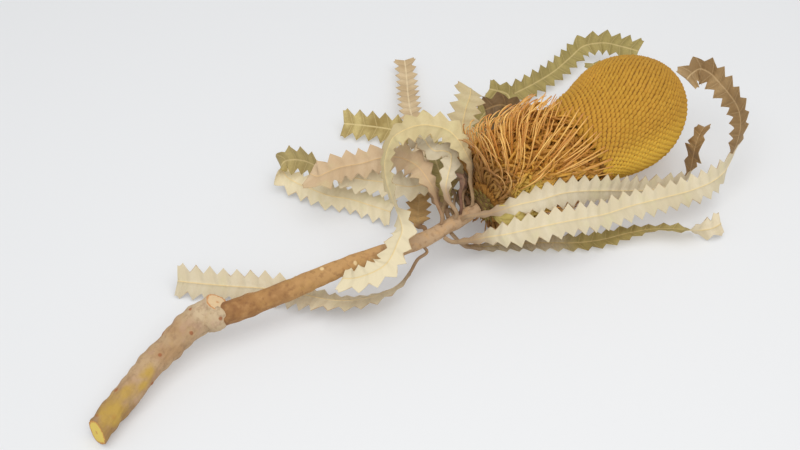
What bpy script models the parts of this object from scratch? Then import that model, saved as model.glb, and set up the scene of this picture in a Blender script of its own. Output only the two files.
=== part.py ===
"""A dried banksia cone on its cut stem, lying on a flat surface.

The sprig is an old branch with a cut side stub, a younger shoot that grows from it, eighteen
saw-toothed leaves round the end of the shoot, and the flower cone: a ring of bracts, the open florets
with their long wiry styles, and the closed buds packed over the tip.

Lengths are in millimetres. They are measured from the spot where the cone touches the surface, with +X
along the cone towards its tip, +Y to its left and +Z up, and CONTACT then puts the middle of the sprig's
box over the world origin. A leaf's turn is how far its pale side is rotated about its length from
looking along LOOK, the direction from which the sprig shows best.
"""

import math

import bpy
import numpy as np
from mathutils import Vector
from mathutils.geometry import delaunay_2d_cdt
from mathutils.kdtree import KDTree

MM = 0.001
GAP = 0.3
SEED = 20
CONTACT = (128.0, -35.6, 0.0)
LOOK = (-0.44, -0.52, 0.73)
UP = np.array([0.0, 0.0, 1.0])

# The cone's axis, from the end of the shoot through the widest place to the tip, and its main sizes.
CONE_AXIS = [(-108, 6, 26), (-80, 4, 28), (-54, 2.5, 30.2), (-25, 1.5, 32.4), (0, 1.5, 33.5), (22, 3.5, 34.8),
             (43, 7.5, 36)]
BRACTS_LENGTH = 5.0
OPEN_END = 75.0
CORE_RADII = [(0.0, 8.0), (6.0, 12.0), (20.0, 15.5), (40.0, 17.5), (60.0, 19.0), (75.0, 20.5)]
BUD_RADII = [(75.0, 26.0), (84.0, 28.6), (92.0, 30.9), (101.0, 33.0), (109.0, 34.0), (117.0, 33.7),
             (125.0, 32.0), (133.0, 28.5), (140.0, 23.4), (146.0, 17.2), (150.0, 10.8), (152.0, 4.5)]
BUD_TIP = 147.0
BUD_RELIEF = 1.7
BUD_AREA = 30.0
BUD_RIM_POINTS = 30
FLAT_SPOT = 1.0
GOLDEN_ANGLE = math.pi * (3 - math.sqrt(5))

CORE_RINGS = 15
CORE_SIDES = 22
CORE_ROUGHNESS = 0.9
LOWEST_CORE = 0.6
STYLE_COUNT = 165
STYLE_RADIUS = 0.45
STYLE_SINK = 2.5
LOWEST_STYLE = 0.9
LEAF_CLEARANCE = 1.5
TUFT_COUNT = 36
TUFT_RADIUS = 1.1
BRACT_COUNT = 12

# The shoot, from inside the old wood to the cone, and the old wood, from its cut end to the cut stub:
# x, y, z and radius.
SHOOT = [(-258, 42, 17, 6.0), (-248, 39, 17, 6.0), (-236, 35.5, 17.5, 5.6), (-218, 30.5, 18.5, 5.3),
         (-200, 26.3, 20, 4.9), (-186, 23, 20.6, 4.6), (-171, 19, 21, 4.4), (-158, 14.5, 21.6, 4.3),
         (-145.5, 10.5, 22, 4.1), (-125.5, 7.5, 24, 3.9), (-108.4, 6, 25.9, 3.6)]
OLD_WOOD = [(-331, 27, 6.5, 6.0), (-320, 31, 7.5, 6.3), (-308, 35.5, 9, 6.4), (-295, 39.8, 11, 6.5),
            (-282, 43, 12.8, 6.8), (-270, 45, 14.8, 7.4), (-261, 45.4, 17, 7.9), (-254.5, 44.6, 20, 6.6),
            (-251, 43.5, 23.4, 5.7)]
# Where a node swells the shoot, and by how much.
NODE_SWELLS = [(-237, 0.5), (-207, 0.45), (-181, 0.4), (-156, 0.35)]
SWELL_LENGTH = 2.5

# A leaf's teeth and end, as shares of its half width or of the tooth pitch, its section, and the stretch
# after the stalk in which it widens, in millimetres but at most a share of its length.
TOOTH_PITCH = 7.6
NOTCH_SHARE = 0.56
TOOTH_LEAN = 0.62
END_SHARE = 0.86
END_NOTCH = 1.6
BLADE_THICKNESS = 0.7
RIB_RISE = 0.25
STALK_WIDTH = 2.4
STALK_LENGTH = 9.0
STALK_EXTRA = 0.7
GROWING_LENGTH = 42.0
GROWING_SHARE = 0.35
FOLD = -0.12

# name, millimetres before the cone, degrees round the shoot (0 left, 90 top, 180 right), width,
# and the route of the midrib: x, y, z and turn.
LEAVES = [
    ("leaf_front_long", 27, 195, 18.4, [
        (-124, -1.6, 17, 10), (-113.4, -8.2, 18.4, 5), (-108.6, -15.2, 22.6, 0), (-99, -23, 26.4, 0),
        (-83.2, -31, 27.4, 0), (-69.4, -36.4, 26, 0), (-57.4, -39.4, 23, 0), (-39.8, -43.4, 21, 0),
        (-19.4, -50, 19.4, 0), (-0.6, -56.2, 18.4, 0), (13.6, -58.4, 17.6, 15), (25.4, -57.8, 18, 45),
        (33.6, -55.4, 20, 75), (41, -52.4, 22, 90), (46.8, -49.6, 26, 100), (54, -44.4, 30, 108),
        (59, -37.2, 34, 118), (61.6, -28, 37, 128), (63.2, -19.2, 39, 136), (65, -10.6, 40, 142),
        (63.6, -4.8, 40.4, 150), (56.6, -3.8, 40, 165), (49.8, -4.6, 38, 180)]),
    ("leaf_front_upper", 14, 130, 18.0, [
        (-110, -5, 32, 0), (-96.6, -11.4, 34.4, 0), (-83.4, -17, 34.4, 3), (-70, -19.8, 32.4, 7),
        (-58, -23.2, 29, 10), (-44.2, -27.2, 23.6, 16), (-26.4, -31.4, 15.4, 22), (-14.2, -34.6, 10.4, 25),
        (-5.6, -40, 10.6, 28), (3.4, -43, 9.6, 45), (10.8, -44.2, 10, 72), (16.6, -42.2, 13.4, 95),
        (19.4, -40, 19, 104), (19.6, -39.4, 27, 106), (24.4, -37.2, 32, 106), (30.2, -36.2, 36, 100)]),
    ("leaf_front_low", 21, 245, 14.4, [
        (-122, 1, 10, 140), (-112, -4, 5.5, 137), (-97, -11, 3, 137), (-84, -20, 2.5, 137),
        (-67, -34, 2.5, 137), (-57, -40.5, 3, 135), (-42, -48, 4.5, 125), (-29, -56.5, 6, 105),
        (-16, -69.5, 7, 90), (-12, -73.5, 7.5, 45), (-6.5, -77, 8, 15), (1.5, -78, 8, 15)]),
    ("leaf_loop", 4, 78, 17.0, [
        (-106, 15, 37, 50), (-102, 20, 44, 40), (-102, 25, 50, 30), (-102, 31, 55, 10),
        (-103.5, 37.5, 58, 0), (-108.5, 43, 60, 0), (-112, 47, 60, 0), (-117, 50.5, 59, 10),
        (-121.5, 53, 57, 25), (-126, 55, 54, 45), (-132.5, 52.5, 50, 60), (-139, 47, 47, 62),
        (-144, 39.5, 44, 62), (-148, 30.5, 42, 72), (-151, 23, 40, 88), (-152.5, 18.5, 38, 55),
        (-156, 12.5, 35.5, 35), (-161.5, 9.5, 33, 30), (-168, 6.5, 30, 25), (-177.5, 3, 31, 25),
        (-185.5, 5.5, 29, 30), (-191.5, 10.5, 26, 40), (-195, 16, 24, 50)]),
    ("leaf_stem_side", 38, 245, 19.0, [
        (-150.5, 6.5, 14.5, 70), (-157, 4.5, 11.5, 76), (-167, 2, 10, 78), (-180, 4.5, 9, 76),
        (-189.5, 9.5, 8, 70), (-200.5, 19.5, 7.5, 62), (-206.5, 28.5, 7, 45), (-212.5, 37, 7.5, 15),
        (-221.5, 47, 8, 0), (-229.5, 55, 8, 0), (-236, 61.5, 8, 0), (-245.5, 71.5, 8, 0),
        (-255, 82, 8, 0)]),
    ("leaf_pink", 25, 80, 18.2, [
        (-127, 18, 32, 50), (-124, 24, 34, 40), (-121.5, 34, 37, 20), (-120.5, 40.5, 38, 10),
        (-121, 48, 38, 0), (-123, 53.5, 38, 0), (-130.5, 62, 36, 0), (-139.5, 67, 34, 0),
        (-150, 74, 32, 0), (-156, 77, 30, 5), (-161, 79.5, 28, 10), (-163, 86, 27, 20)]),
    ("leaf_curled", 13, 15, 17.6, [
        (-109.5, 24, 25, 60), (-112, 34, 25, 30), (-116, 39, 24, 10), (-123, 45, 22, 0), (-131, 56, 22, 0),
        (-141.5, 69, 22, 0), (-148, 81, 22, 60), (-152, 92, 21, 130), (-154.5, 101.5, 20, 150),
        (-158, 108.5, 18, 170), (-161.5, 113, 15, 200), (-164, 113, 11.5, 270), (-164, 109, 8.5, 330),
        (-162.5, 102.5, 7.5, 350), (-158.5, 91.5, 7.5, 355), (-154.5, 81.5, 7.5, 360),
        (-146.5, 70.5, 7.5, 360), (-139.5, 57, 7.5, 360), (-135, 45.5, 8.5, 360)]),
    ("leaf_back_left", 14, 350, 19.0, [
        (-113, 26, 12.5, 150), (-96, 45.5, 8, 165), (-85, 66, 8, 170), (-81, 82, 8, 180),
        (-89.5, 100.5, 7.5, 180), (-99, 113, 7.5, 180), (-110, 125.5, 7.5, 180)]),
    ("leaf_upright", 18, 10, 14.6, [
        (-117, 30, 19, 170), (-105, 52, 24, 180), (-92, 74, 21, 180), (-76, 100, 16, 180),
        (-63.5, 117, 11.5, 180), (-52.5, 131, 8, 180), (-42.5, 144.5, 7.5, 180), (-39, 149.5, 7.5, 180)]),
    ("leaf_folded", 33, 350, 15.4, [
        (-135, 23, 16, 180), (-129, 31, 12, 180), (-121, 40, 9.5, 180), (-113, 48, 9, 160)]),
    ("leaf_centre", 17, 100, 12.0, [
        (-123, 14, 36, 30), (-122, 17, 38, 20), (-114, 24.5, 41, 10), (-108, 29, 43, 10),
        (-105, 33, 45, 0), (-107, 36, 46, 0), (-111, 38.5, 46.5, 0), (-111, 44, 46.5, 0),
        (-108, 51, 44.5, 0), (-109, 58, 42, 0), (-113, 61, 40, 0)]),
    ("leaf_behind", 9, 40, 19.4, [
        (-107, 19, 32, 0), (-98, 29, 30.5, 0), (-88, 39, 32, 0), (-78, 52, 37, 0), (-70, 58.5, 40, 0),
        (-61, 64.5, 42, 0), (-55, 70.5, 41.5, 30)]),
    ("leaf_top_long", 4, 330, 16.8, [
        (-104, 21, 15, 180), (-94, 28, 12.5, 180), (-68, 50, 9.5, 180), (-44, 72, 8, 180),
        (-23, 78, 8, 180), (-9, 77, 8, 180), (8, 76, 8, 180), (26.5, 76.5, 8, 180), (44.5, 79, 9, 180),
        (59, 80, 11, 180), (66.5, 72.5, 14, 180), (69, 58.5, 18, 180), (72, 45, 20, 180)]),
    ("leaf_top_short", 9, 305, 12.4, [
        (-106, 19, 8, 160), (-95, 27, 5, 145), (-72, 40, 3.5, 137), (-30, 53, 3, 137), (5, 51, 3.5, 137),
        (30, 48, 6, 150), (45, 57, 10, 180), (50, 65, 11, 180)]),
    ("leaf_dark", 4, 20, 15.4, [
        (-107, 20, 25, 180), (-98, 27, 24, 180), (-84, 34, 22.5, 180), (-66, 42, 22.5, 180),
        (-47, 48, 24, 180), (-37, 52, 26.5, 180), (-41, 56, 29.5, 180), (-54, 60, 30, 180)]),
    ("leaf_olive", 8, 355, 13.0, [
        (-107, 22, 19, 180), (-94, 30, 18.5, 180), (-72, 44, 17, 180), (-48, 56, 16, 180),
        (-29, 62, 17, 180), (-23, 69, 19, 180), (-30, 81, 21, 180)]),
    ("leaf_hub", 22, 45, 11.0, [
        (-118, 20, 29, 150), (-112, 31, 31, 170), (-106, 42, 31, 180), (-100, 52, 29, 180)]),
    ("leaf_small", 13, 88, 7.0, [
        (-114, 14, 35, 60), (-108, 18, 37, 40), (-105, 24, 37.5, 30)]),
]

FELT = (0.72, 0.66, 0.49)
OLIVE = (0.38, 0.31, 0.13)
LEAF_COLOURS = {"leaf_pink": (0.60, 0.46, 0.33), "leaf_dark": (0.20, 0.15, 0.08),
                "leaf_folded": (0.30, 0.23, 0.12), "leaf_small": (0.25, 0.17, 0.13)}
OLIVE_LEAVES = ("leaf_front_low", "leaf_back_left", "leaf_upright", "leaf_top_long", "leaf_top_short",
                "leaf_olive", "leaf_hub")


def clear_scene():
    for thing in list(bpy.data.objects):
        bpy.data.objects.remove(thing)


def material(name, colour, roughness):
    made = bpy.data.materials.new(name)
    made.use_nodes = True
    shader = made.node_tree.nodes["Principled BSDF"]
    shader.inputs["Base Color"].default_value = (*colour, 1.0)
    shader.inputs["Roughness"].default_value = roughness
    return made


def add_piece(name, points, faces, colour, roughness=0.7, smooth=False):
    """A mesh object from points in millimetres, moved from the contact spot to the world origin."""
    mesh = bpy.data.meshes.new(name)
    mesh.from_pydata(((np.asarray(points) + CONTACT) * MM).tolist(), [], faces)
    mesh.validate()
    piece = bpy.data.objects.new(name, mesh)
    bpy.context.collection.objects.link(piece)
    mesh.materials.append(material(name, colour, roughness))
    if smooth:
        mesh.shade_smooth()
    return piece


def unit(vectors):
    return vectors / np.linalg.norm(vectors, axis=-1, keepdims=True)


def smooth_path(points, count):
    """Points on a cubic curve through the given ones, spaced evenly by the chords between them."""
    given = np.asarray(points, float)
    chords = np.linalg.norm(np.diff(given[:, :3], axis=0), axis=1)
    reach = np.concatenate([[0.0], np.cumsum(chords)])
    slopes = np.gradient(given, reach, axis=0)
    wanted = np.linspace(0.0, reach[-1], count)
    k = np.clip(np.searchsorted(reach, wanted, side="right") - 1, 0, len(reach) - 2)
    span = (reach[k + 1] - reach[k])[:, None]
    t = (wanted - reach[k])[:, None] / span
    return ((2 * t**3 - 3 * t**2 + 1) * given[k] + (t**3 - 2 * t**2 + t) * span * slopes[k]
            + (3 * t**2 - 2 * t**3) * given[k + 1] + (t**3 - t**2) * span * slopes[k + 1])


def measure(path):
    """The length along a path at each of its points."""
    return np.concatenate([[0.0], np.cumsum(np.linalg.norm(np.diff(path[:, :3], axis=0), axis=1))])


def at_lengths(path, lengths):
    reach = measure(path)
    return np.column_stack([np.interp(lengths, reach, column) for column in path.T])


def tangents(path):
    return unit(np.gradient(path[:, :3], measure(path), axis=0))


def tube(route, sides, count, swells=()):
    """Rings of points round a smooth route of x, y, z and radius, closed by a point at each end."""
    path = smooth_path(route, count)
    along = tangents(path)
    left = unit(np.cross(UP, along))
    top = np.cross(along, left)
    swell = sum(size * np.exp(-((path[:, 0] - place) / SWELL_LENGTH) ** 2) for place, size in swells)
    radius = path[:, 3] + swell
    angle = np.arange(sides) * 2 * math.pi / sides
    rings = (path[:, None, :3] + radius[:, None, None] * (np.cos(angle)[None, :, None] * left[:, None]
                                                          + np.sin(angle)[None, :, None] * top[:, None]))
    points = np.vstack([rings.reshape(-1, 3), path[0, :3], path[-1, :3]])
    faces = []
    for ring in range(count - 1):
        for side in range(sides):
            a, b = ring * sides + side, ring * sides + (side + 1) % sides
            faces.append((a, b, b + sides, a + sides))
    first, last = count * sides, count * sides + 1
    for side in range(sides):
        after = (side + 1) % sides
        faces.append((first, after, side))
        faces.append((last, (count - 1) * sides + side, (count - 1) * sides + after))
    return points, faces


def join_collection(body, operands, solver):
    """One Boolean union of a body with every object in a list, applied, with the list then removed."""
    group = bpy.data.collections.new("joined")
    bpy.context.scene.collection.children.link(group)
    for thing in operands:
        group.objects.link(thing)
        bpy.context.collection.objects.unlink(thing)
    union = body.modifiers.new("union", "BOOLEAN")
    union.operation = "UNION"
    union.operand_type = "COLLECTION"
    union.collection = group
    union.solver = solver
    bpy.context.view_layer.update()
    whole = bpy.data.meshes.new_from_object(body.evaluated_get(bpy.context.evaluated_depsgraph_get()))
    body.modifiers.clear()
    body.data = whole
    for thing in operands:
        bpy.data.objects.remove(thing)
    bpy.data.collections.remove(group)


def build_branch():
    """The old wood with its cut stub, and the shoot that grows from it, as one body."""
    old = add_piece("branch", *tube(OLD_WOOD, 14, 16), (0.36, 0.28, 0.19), 0.75)
    shoot = add_piece("shoot", *tube(SHOOT, 12, 22, NODE_SWELLS), (0.5, 0.33, 0.2), 0.7)
    join_collection(old, [shoot], "EXACT")


CONE_PATH = smooth_path(CONE_AXIS, 200)
CONE_LENGTHS = measure(CONE_PATH)
CONE_LEFT = unit(np.cross(UP, tangents(CONE_PATH)))
CONE_TOP = np.cross(tangents(CONE_PATH), CONE_LEFT)


def on_cone(along, radius, angle):
    """Points at a length along the cone's axis, a radius from it and an angle round it from its left."""
    def read(table):
        return np.column_stack([np.interp(along, CONE_LENGTHS, column) for column in table.T])
    return (read(CONE_PATH[:, :3]) + (radius * np.cos(angle))[:, None] * read(CONE_LEFT)
            + (radius * np.sin(angle))[:, None] * read(CONE_TOP))


def profile(table, along):
    """A radius read from a smooth curve through a table of lengths and radii."""
    curve = smooth_path([(a, r, 0.0) for a, r in table], 300)
    return np.interp(along, curve[:, 0], curve[:, 1])


def triangulate(flat):
    """Delaunay triangles of points in a plane, wound anticlockwise."""
    _, _, faces, _, _, _ = delaunay_2d_cdt([Vector(p) for p in flat], [], [], 0, 1e-9)
    return [tuple(face) for face in faces]


def build_closed_buds():
    """The closed buds: a spiral of pointed bumps of equal area over the end of the cone."""
    fine = np.linspace(BUD_RADII[0][0], BUD_RADII[-1][0] + 0.3, 900)
    radius = profile(BUD_RADII, fine)
    slant = np.hypot(np.gradient(fine), np.gradient(radius))
    area = np.concatenate([[0.0], np.cumsum(2 * math.pi * radius[1:] * slant[1:])])
    # The flat map keeps angles true: its radius shrinks by the slant length over the cone's radius.
    shrink = np.exp(-np.concatenate([[0.0], np.cumsum(slant[1:] / radius[1:])]))

    count = int(area[-1] / BUD_AREA)
    turns = np.arange(count)
    along = np.interp((turns + 0.5) * BUD_AREA, area, fine)
    angle = turns * GOLDEN_ANGLE
    rim_angle = np.arange(BUD_RIM_POINTS) * 2 * math.pi / BUD_RIM_POINTS

    def flat_map(lengths, angles):
        far = np.interp(lengths, fine, shrink)
        return np.column_stack([far * np.cos(angles), far * np.sin(angles)])

    peaks = flat_map(along, angle)
    rim = flat_map(np.full(BUD_RIM_POINTS, fine[0]), rim_angle)
    both = np.vstack([peaks, rim])
    valleys = np.array([both[list(face)].mean(axis=0) for face in triangulate(both)])
    flat = np.vstack([both, valleys])
    faces = triangulate(flat)

    lengths = np.interp(-np.hypot(*flat.T), -shrink, fine)
    angles = np.arctan2(flat[:, 1], flat[:, 0])
    reach = profile(BUD_RADII, lengths)
    deep = np.full(len(flat), BUD_RELIEF)
    deep[:count] = 0.0
    deep[count:count + BUD_RIM_POINTS] = BUD_RELIEF * 0.5
    smooth_skin = on_cone(lengths, reach, angles)
    points = on_cone(lengths, reach - deep, angles)
    tip = lengths > BUD_TIP
    points[tip] = on_cone(lengths[tip] - deep[tip] * 0.6, reach[tip], angles[tip])
    low = smooth_skin[:, 2] < FLAT_SPOT
    points[low, 2] = 0.0

    centre = len(points)
    points = np.vstack([points, on_cone(np.array([fine[0]]), np.zeros(1), np.zeros(1))])
    for k in range(BUD_RIM_POINTS):
        faces.append((count + (k + 1) % BUD_RIM_POINTS, count + k, centre))
    return add_piece("closed_buds", points, faces, (0.52, 0.33, 0.06), 0.75)


def bent_path(root, bend, tip):
    """Four points on the curve that leaves the root towards the bend and ends at the tip."""
    t = np.array([0.0, 0.38, 0.72, 1.0])[:, None]
    path = (1 - t) ** 2 * root + 2 * t * (1 - t) * bend + t**2 * tip
    path[:, 2] = np.maximum(path[:, 2], LOWEST_STYLE)
    return path


def needle(name, path, radius):
    """A three-sided needle along four points, which ends in a sharp tip."""
    along = unit(np.gradient(path, axis=0))
    side = unit(np.cross(along, (0.3, 0.2, 1.0)))
    other = np.cross(along, side)
    points = []
    for k, share in enumerate((1.0, 0.9, 0.75)):
        for corner in range(3):
            angle = corner * 2 * math.pi / 3
            points.append(path[k] + radius * share * (math.cos(angle) * side[k] + math.sin(angle) * other[k]))
    points.append(path[3])
    faces = [(2, 1, 0)]
    for ring in (0, 3):
        for corner in range(3):
            a, b = ring + corner, ring + (corner + 1) % 3
            faces.append((a, b, b + 3, a + 3))
    for corner in range(3):
        faces.append((6 + corner, 6 + (corner + 1) % 3, 9))
    return add_piece(name, points, faces, (0.6, 0.3, 0.08))


def is_clear(path, radius, leaf_tree):
    """Whether a needle along a path keeps off every leaf."""
    steps = path[1:] - path[:-1]
    finer = np.vstack([path[:-1] + steps * share for share in (0.0, 0.25, 0.5, 0.75)] + [path[-1:]])
    return all(leaf_tree.find(point)[2] > radius + LEAF_CLEARANCE for point in finer)


def build_open_florets(leaf_tree):
    """The open florets: a rough core with wiry styles that sweep towards the tip, joined to it."""
    draw = np.random.default_rng(SEED)
    start, end = BRACTS_LENGTH + GAP, OPEN_END - GAP
    rings, sides = CORE_RINGS, CORE_SIDES
    lengths = np.linspace(start, end, rings)
    points, faces = [], []
    for ring in range(rings):
        angle = (np.arange(sides) + 0.5 * (ring % 2)) * 2 * math.pi / sides
        rough = np.where(np.arange(sides) % 2 == 0, CORE_ROUGHNESS, -CORE_ROUGHNESS) * (0 < ring < rings - 1)
        reach = profile(CORE_RADII, np.full(sides, lengths[ring])) + rough
        points.append(on_cone(np.full(sides, lengths[ring]), reach, angle))
    points = np.vstack(points + [on_cone(np.array([start, end]), np.zeros(2), np.zeros(2))])
    for ring in range(rings - 1):
        for side in range(sides):
            a, b = ring * sides + side, ring * sides + (side + 1) % sides
            c, d = a + sides, b + sides
            if ring % 2 == 0:
                faces += [(a, b, c), (b, d, c)]
            else:
                faces += [(a, b, d), (a, d, c)]
    for side in range(sides):
        after = (side + 1) % sides
        faces.append((rings * sides, after, side))
        faces.append((rings * sides + 1, (rings - 1) * sides + side, (rings - 1) * sides + after))
    points[:, 2] = np.maximum(points[:, 2], LOWEST_CORE)
    core = add_piece("open_florets", points, faces, (0.45, 0.25, 0.07), 0.8)

    def spot(along, radius, angle):
        return on_cone(np.array([along]), np.array([radius]), np.array([angle]))[0]

    needles = []
    for k in range(STYLE_COUNT):
        share = (k + 0.5) / STYLE_COUNT
        along = start + 2.5 + (end - start - 27.0) * share
        angle = k * GOLDEN_ANGLE
        out = 19.0 - 5.0 * share + draw.uniform(-1.5, 1.5)
        forward = -3.0 + 27.0 * share**0.6 + draw.uniform(-2.0, 2.0)
        twist = draw.uniform(-0.06, 0.06)
        reach = float(profile(CORE_RADII, np.array([along]))[0])
        root = spot(along, reach - STYLE_SINK, angle)
        for size in (1.0, 0.85, 0.7, 0.55):
            tip_along = min(along + forward, end - 1.0)
            path = bent_path(root, spot(along + 0.2 * forward, reach + 0.85 * size * out, angle + twist),
                             spot(tip_along, reach + size * out, angle + 2 * twist))
            if is_clear(path, STYLE_RADIUS, leaf_tree):
                needles.append(needle(f"style_{k}", path, STYLE_RADIUS))
                break
    for k in range(TUFT_COUNT):
        along = start + 3.0 + 56.0 * ((k + 0.5) / TUFT_COUNT)
        angle = (k + 0.37) * GOLDEN_ANGLE
        lean = 5.0 * draw.uniform(0.4, 1.0)
        reach = float(profile(CORE_RADII, np.array([along]))[0])
        path = bent_path(spot(along, reach - STYLE_SINK, angle), spot(along + 1.5, reach + 4.0, angle),
                         spot(along + lean, reach + 8.5, angle))
        if is_clear(path, TUFT_RADIUS, leaf_tree):
            needles.append(needle(f"tuft_{k}", path, TUFT_RADIUS))
    join_collection(core, needles, "MANIFOLD")


def build_basal_bracts():
    """The ring of small pointed bracts under the cone, as one rosette."""
    sides = 2 * BRACT_COUNT
    angle = np.arange(sides) * 2 * math.pi / sides
    pointed = np.arange(sides) % 2
    points, faces = [], []
    # Each row: its length along the axis, its radius, how far its points stand out and how far they lean back.
    rows = [(0.0, 5.0, 0.0, 0.0), (0.6, 6.4, 1.2, 0.0), (BRACTS_LENGTH - 0.3, 8.6, 3.2, 1.6),
            (BRACTS_LENGTH, 6.5, 0.6, 0.0)]
    for along, reach, out, back in rows:
        points.append(on_cone(along - back * pointed, reach + out * pointed, angle))
    points = np.vstack(points + [on_cone(np.array([0.0, BRACTS_LENGTH]), np.zeros(2), np.zeros(2))])
    count = len(rows)
    for row in range(count - 1):
        for side in range(sides):
            a, b = row * sides + side, row * sides + (side + 1) % sides
            faces += [(a, b, b + sides), (a, b + sides, a + sides)]
    for side in range(sides):
        after = (side + 1) % sides
        faces.append((count * sides, after, side))
        faces.append((count * sides + 1, (count - 1) * sides + side, (count - 1) * sides + after))
    return add_piece("basal_bracts", points, faces, (0.42, 0.38, 0.12), 0.8)


SHOOT_PATH = smooth_path(SHOOT, 300)
SHOOT_LENGTHS = measure(SHOOT_PATH)
SHOOT_TANGENTS = tangents(SHOOT_PATH)


def leaf_root(before, round_shoot):
    """Two points that lead a stalk straight out of the shoot, a little before the cone."""
    k = int(np.argmin(abs(SHOOT_LENGTHS - (SHOOT_LENGTHS[-1] - before))))
    left = unit(np.cross(UP, SHOOT_TANGENTS[k]))
    top = np.cross(SHOOT_TANGENTS[k], left)
    angle = math.radians(round_shoot)
    out = unit(math.cos(angle) * left + math.sin(angle) * top + 0.35 * SHOOT_TANGENTS[k])
    surface = SHOOT_PATH[k, 3] + GAP + 0.55
    return SHOOT_PATH[k, :3] + surface * out, SHOOT_PATH[k, :3] + (surface + 3.0) * out


def spots_on_blade(lengths, middles, halves):
    """Points over a blade about a millimetre apart, from its midrib and its half widths at some lengths."""
    order = np.argsort(lengths)
    fine = np.arange(0.0, lengths[order[-1]], 1.0)
    middle = np.column_stack([np.interp(fine, lengths[order], column) for column in middles[order].T])
    half = np.column_stack([np.interp(fine, lengths[order], column) for column in halves[order].T])
    spread = np.linspace(-1.0, 1.0, 7)[None, :, None]
    return (middle[:, None] + spread * half[:, None]).reshape(-1, 3)


def build_leaf(name, before, round_shoot, width, route, colour):
    """A flat saw-toothed blade on a short stalk, with a raised midrib and a cut-off end.

    Returns points over the blade, which the styles of the cone keep off.
    """
    first, second = leaf_root(before, round_shoot)
    ends = [(*first, route[0][3]), (*second, route[0][3])]
    path = smooth_path(ends + route, 400)
    total = measure(path)[-1]
    teeth = max(3, round((total - STALK_LENGTH) / TOOTH_PITCH))
    pitch = (total - STALK_LENGTH) / teeth
    notches = STALK_LENGTH + pitch * np.arange(teeth + 1)
    lengths = np.concatenate([[0.0, 0.5 * STALK_LENGTH], notches, notches[:-1] + TOOTH_LEAN * pitch])

    place = at_lengths(path, lengths)
    heading = unit(at_lengths(np.column_stack([path[:, :3], tangents(path)]), lengths)[:, 3:6])
    face = unit(np.asarray(LOOK) - (heading @ np.asarray(LOOK))[:, None] * heading)
    turn = np.radians(place[:, 3])[:, None]
    normal = np.cos(turn) * face + np.sin(turn) * np.cross(heading, face)
    across = np.cross(heading, normal)

    half = width / 2
    growing = min(GROWING_LENGTH, GROWING_SHARE * total)
    grown = np.clip((lengths - STALK_LENGTH) / growing, 0.0, 1.0)
    grown = grown * grown * (3 - 2 * grown)
    inner = STALK_WIDTH / 2 + (NOTCH_SHARE * half - STALK_WIDTH / 2) * grown
    inner[teeth + 2] = END_SHARE * half
    outer = inner + 0.5 + ((1 - NOTCH_SHARE) * half - 0.5) * grown
    stalk = 2
    rows = stalk + teeth + 1

    points = []
    for side in (1.0, -1.0):
        for k in range(rows):
            thick = 0.5 * (BLADE_THICKNESS + STALK_EXTRA * (1 - grown[k]))
            rib = thick + RIB_RISE * grown[k]
            edge = FOLD * inner[k] * normal[k]
            points.append(place[k, :3] - inner[k] * across[k] + edge + side * thick * normal[k])
            points.append(place[k, :3] + side * rib * normal[k])
            points.append(place[k, :3] + inner[k] * across[k] + edge + side * thick * normal[k])
        for k in range(rows, rows + teeth):
            thick = 0.5 * BLADE_THICKNESS
            edge = FOLD * outer[k] * normal[k]
            points.append(place[k, :3] - outer[k] * across[k] + edge + side * thick * normal[k])
            points.append(place[k, :3] + outer[k] * across[k] + edge + side * thick * normal[k])

    upper = []
    for k in range(rows - 1):
        a, b = 3 * k, 3 * k + 3
        upper += [(a, a + 1, b + 1), (a, b + 1, b), (a + 1, a + 2, b + 2), (a + 1, b + 2, b + 1)]
    right, left = [1], []
    for k in range(rows):
        right.append(3 * k + 2)
        left.append(3 * k)
        if stalk <= k < rows - 1:
            tooth = 3 * rows + 2 * (k - stalk)
            upper += [(3 * k, 3 * k + 3, tooth), (3 * k + 2, tooth + 1, 3 * k + 5)]
            right.append(tooth + 1)
            left.append(tooth)
    points[3 * rows - 2] -= END_NOTCH * heading[rows - 1]
    points[len(points) // 2 + 3 * rows - 2] -= END_NOTCH * heading[rows - 1]
    loop = right + [3 * (rows - 1) + 1] + left[::-1]
    under = len(points) // 2
    faces = upper + [(c + under, b + under, a + under) for a, b, c in upper]
    for a, b in zip(loop, loop[1:] + loop[:1]):
        faces += [(a + under, b + under, b), (a + under, b, a)]
    add_piece(name, points, faces, colour)
    return spots_on_blade(lengths, place[:, :3], across * outer[:, None])


def main():
    clear_scene()
    build_branch()
    build_closed_buds()
    build_basal_bracts()
    blades = []
    for name, before, round_shoot, width, route in LEAVES:
        colour = LEAF_COLOURS.get(name, OLIVE if name in OLIVE_LEAVES else FELT)
        blades.append(build_leaf(name, before, round_shoot, width, route, colour))
    spots = np.vstack(blades)
    leaf_tree = KDTree(len(spots))
    for k, point in enumerate(spots):
        leaf_tree.insert(point, k)
    leaf_tree.balance()
    build_open_florets(leaf_tree)


main()
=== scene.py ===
# %% [markdown]
# # A dried banksia cone on its leafy stem
#
# This notebook dresses a plain solid model of a dried sprig: an old branch, a younger shoot, eighteen
# saw-toothed leaves and the flower cone, whose buds have opened at the stem end and are still closed over
# the tip. The solids give every piece its place and size. Each step here replaces one kind of piece with a
# finer surface worked out with numpy, and gives it a finish made of shader nodes.
#
# Lengths are in millimetres, measured from the spot where the cone touches the table: X runs along the cone
# to its tip, Y to its left and Z up. CONTACT moves that spot to where it is in the solid model.

# %% Load the solid model
import math

import bpy
import numpy as np
from mathutils import Matrix
from mathutils.kdtree import KDTree


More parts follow.
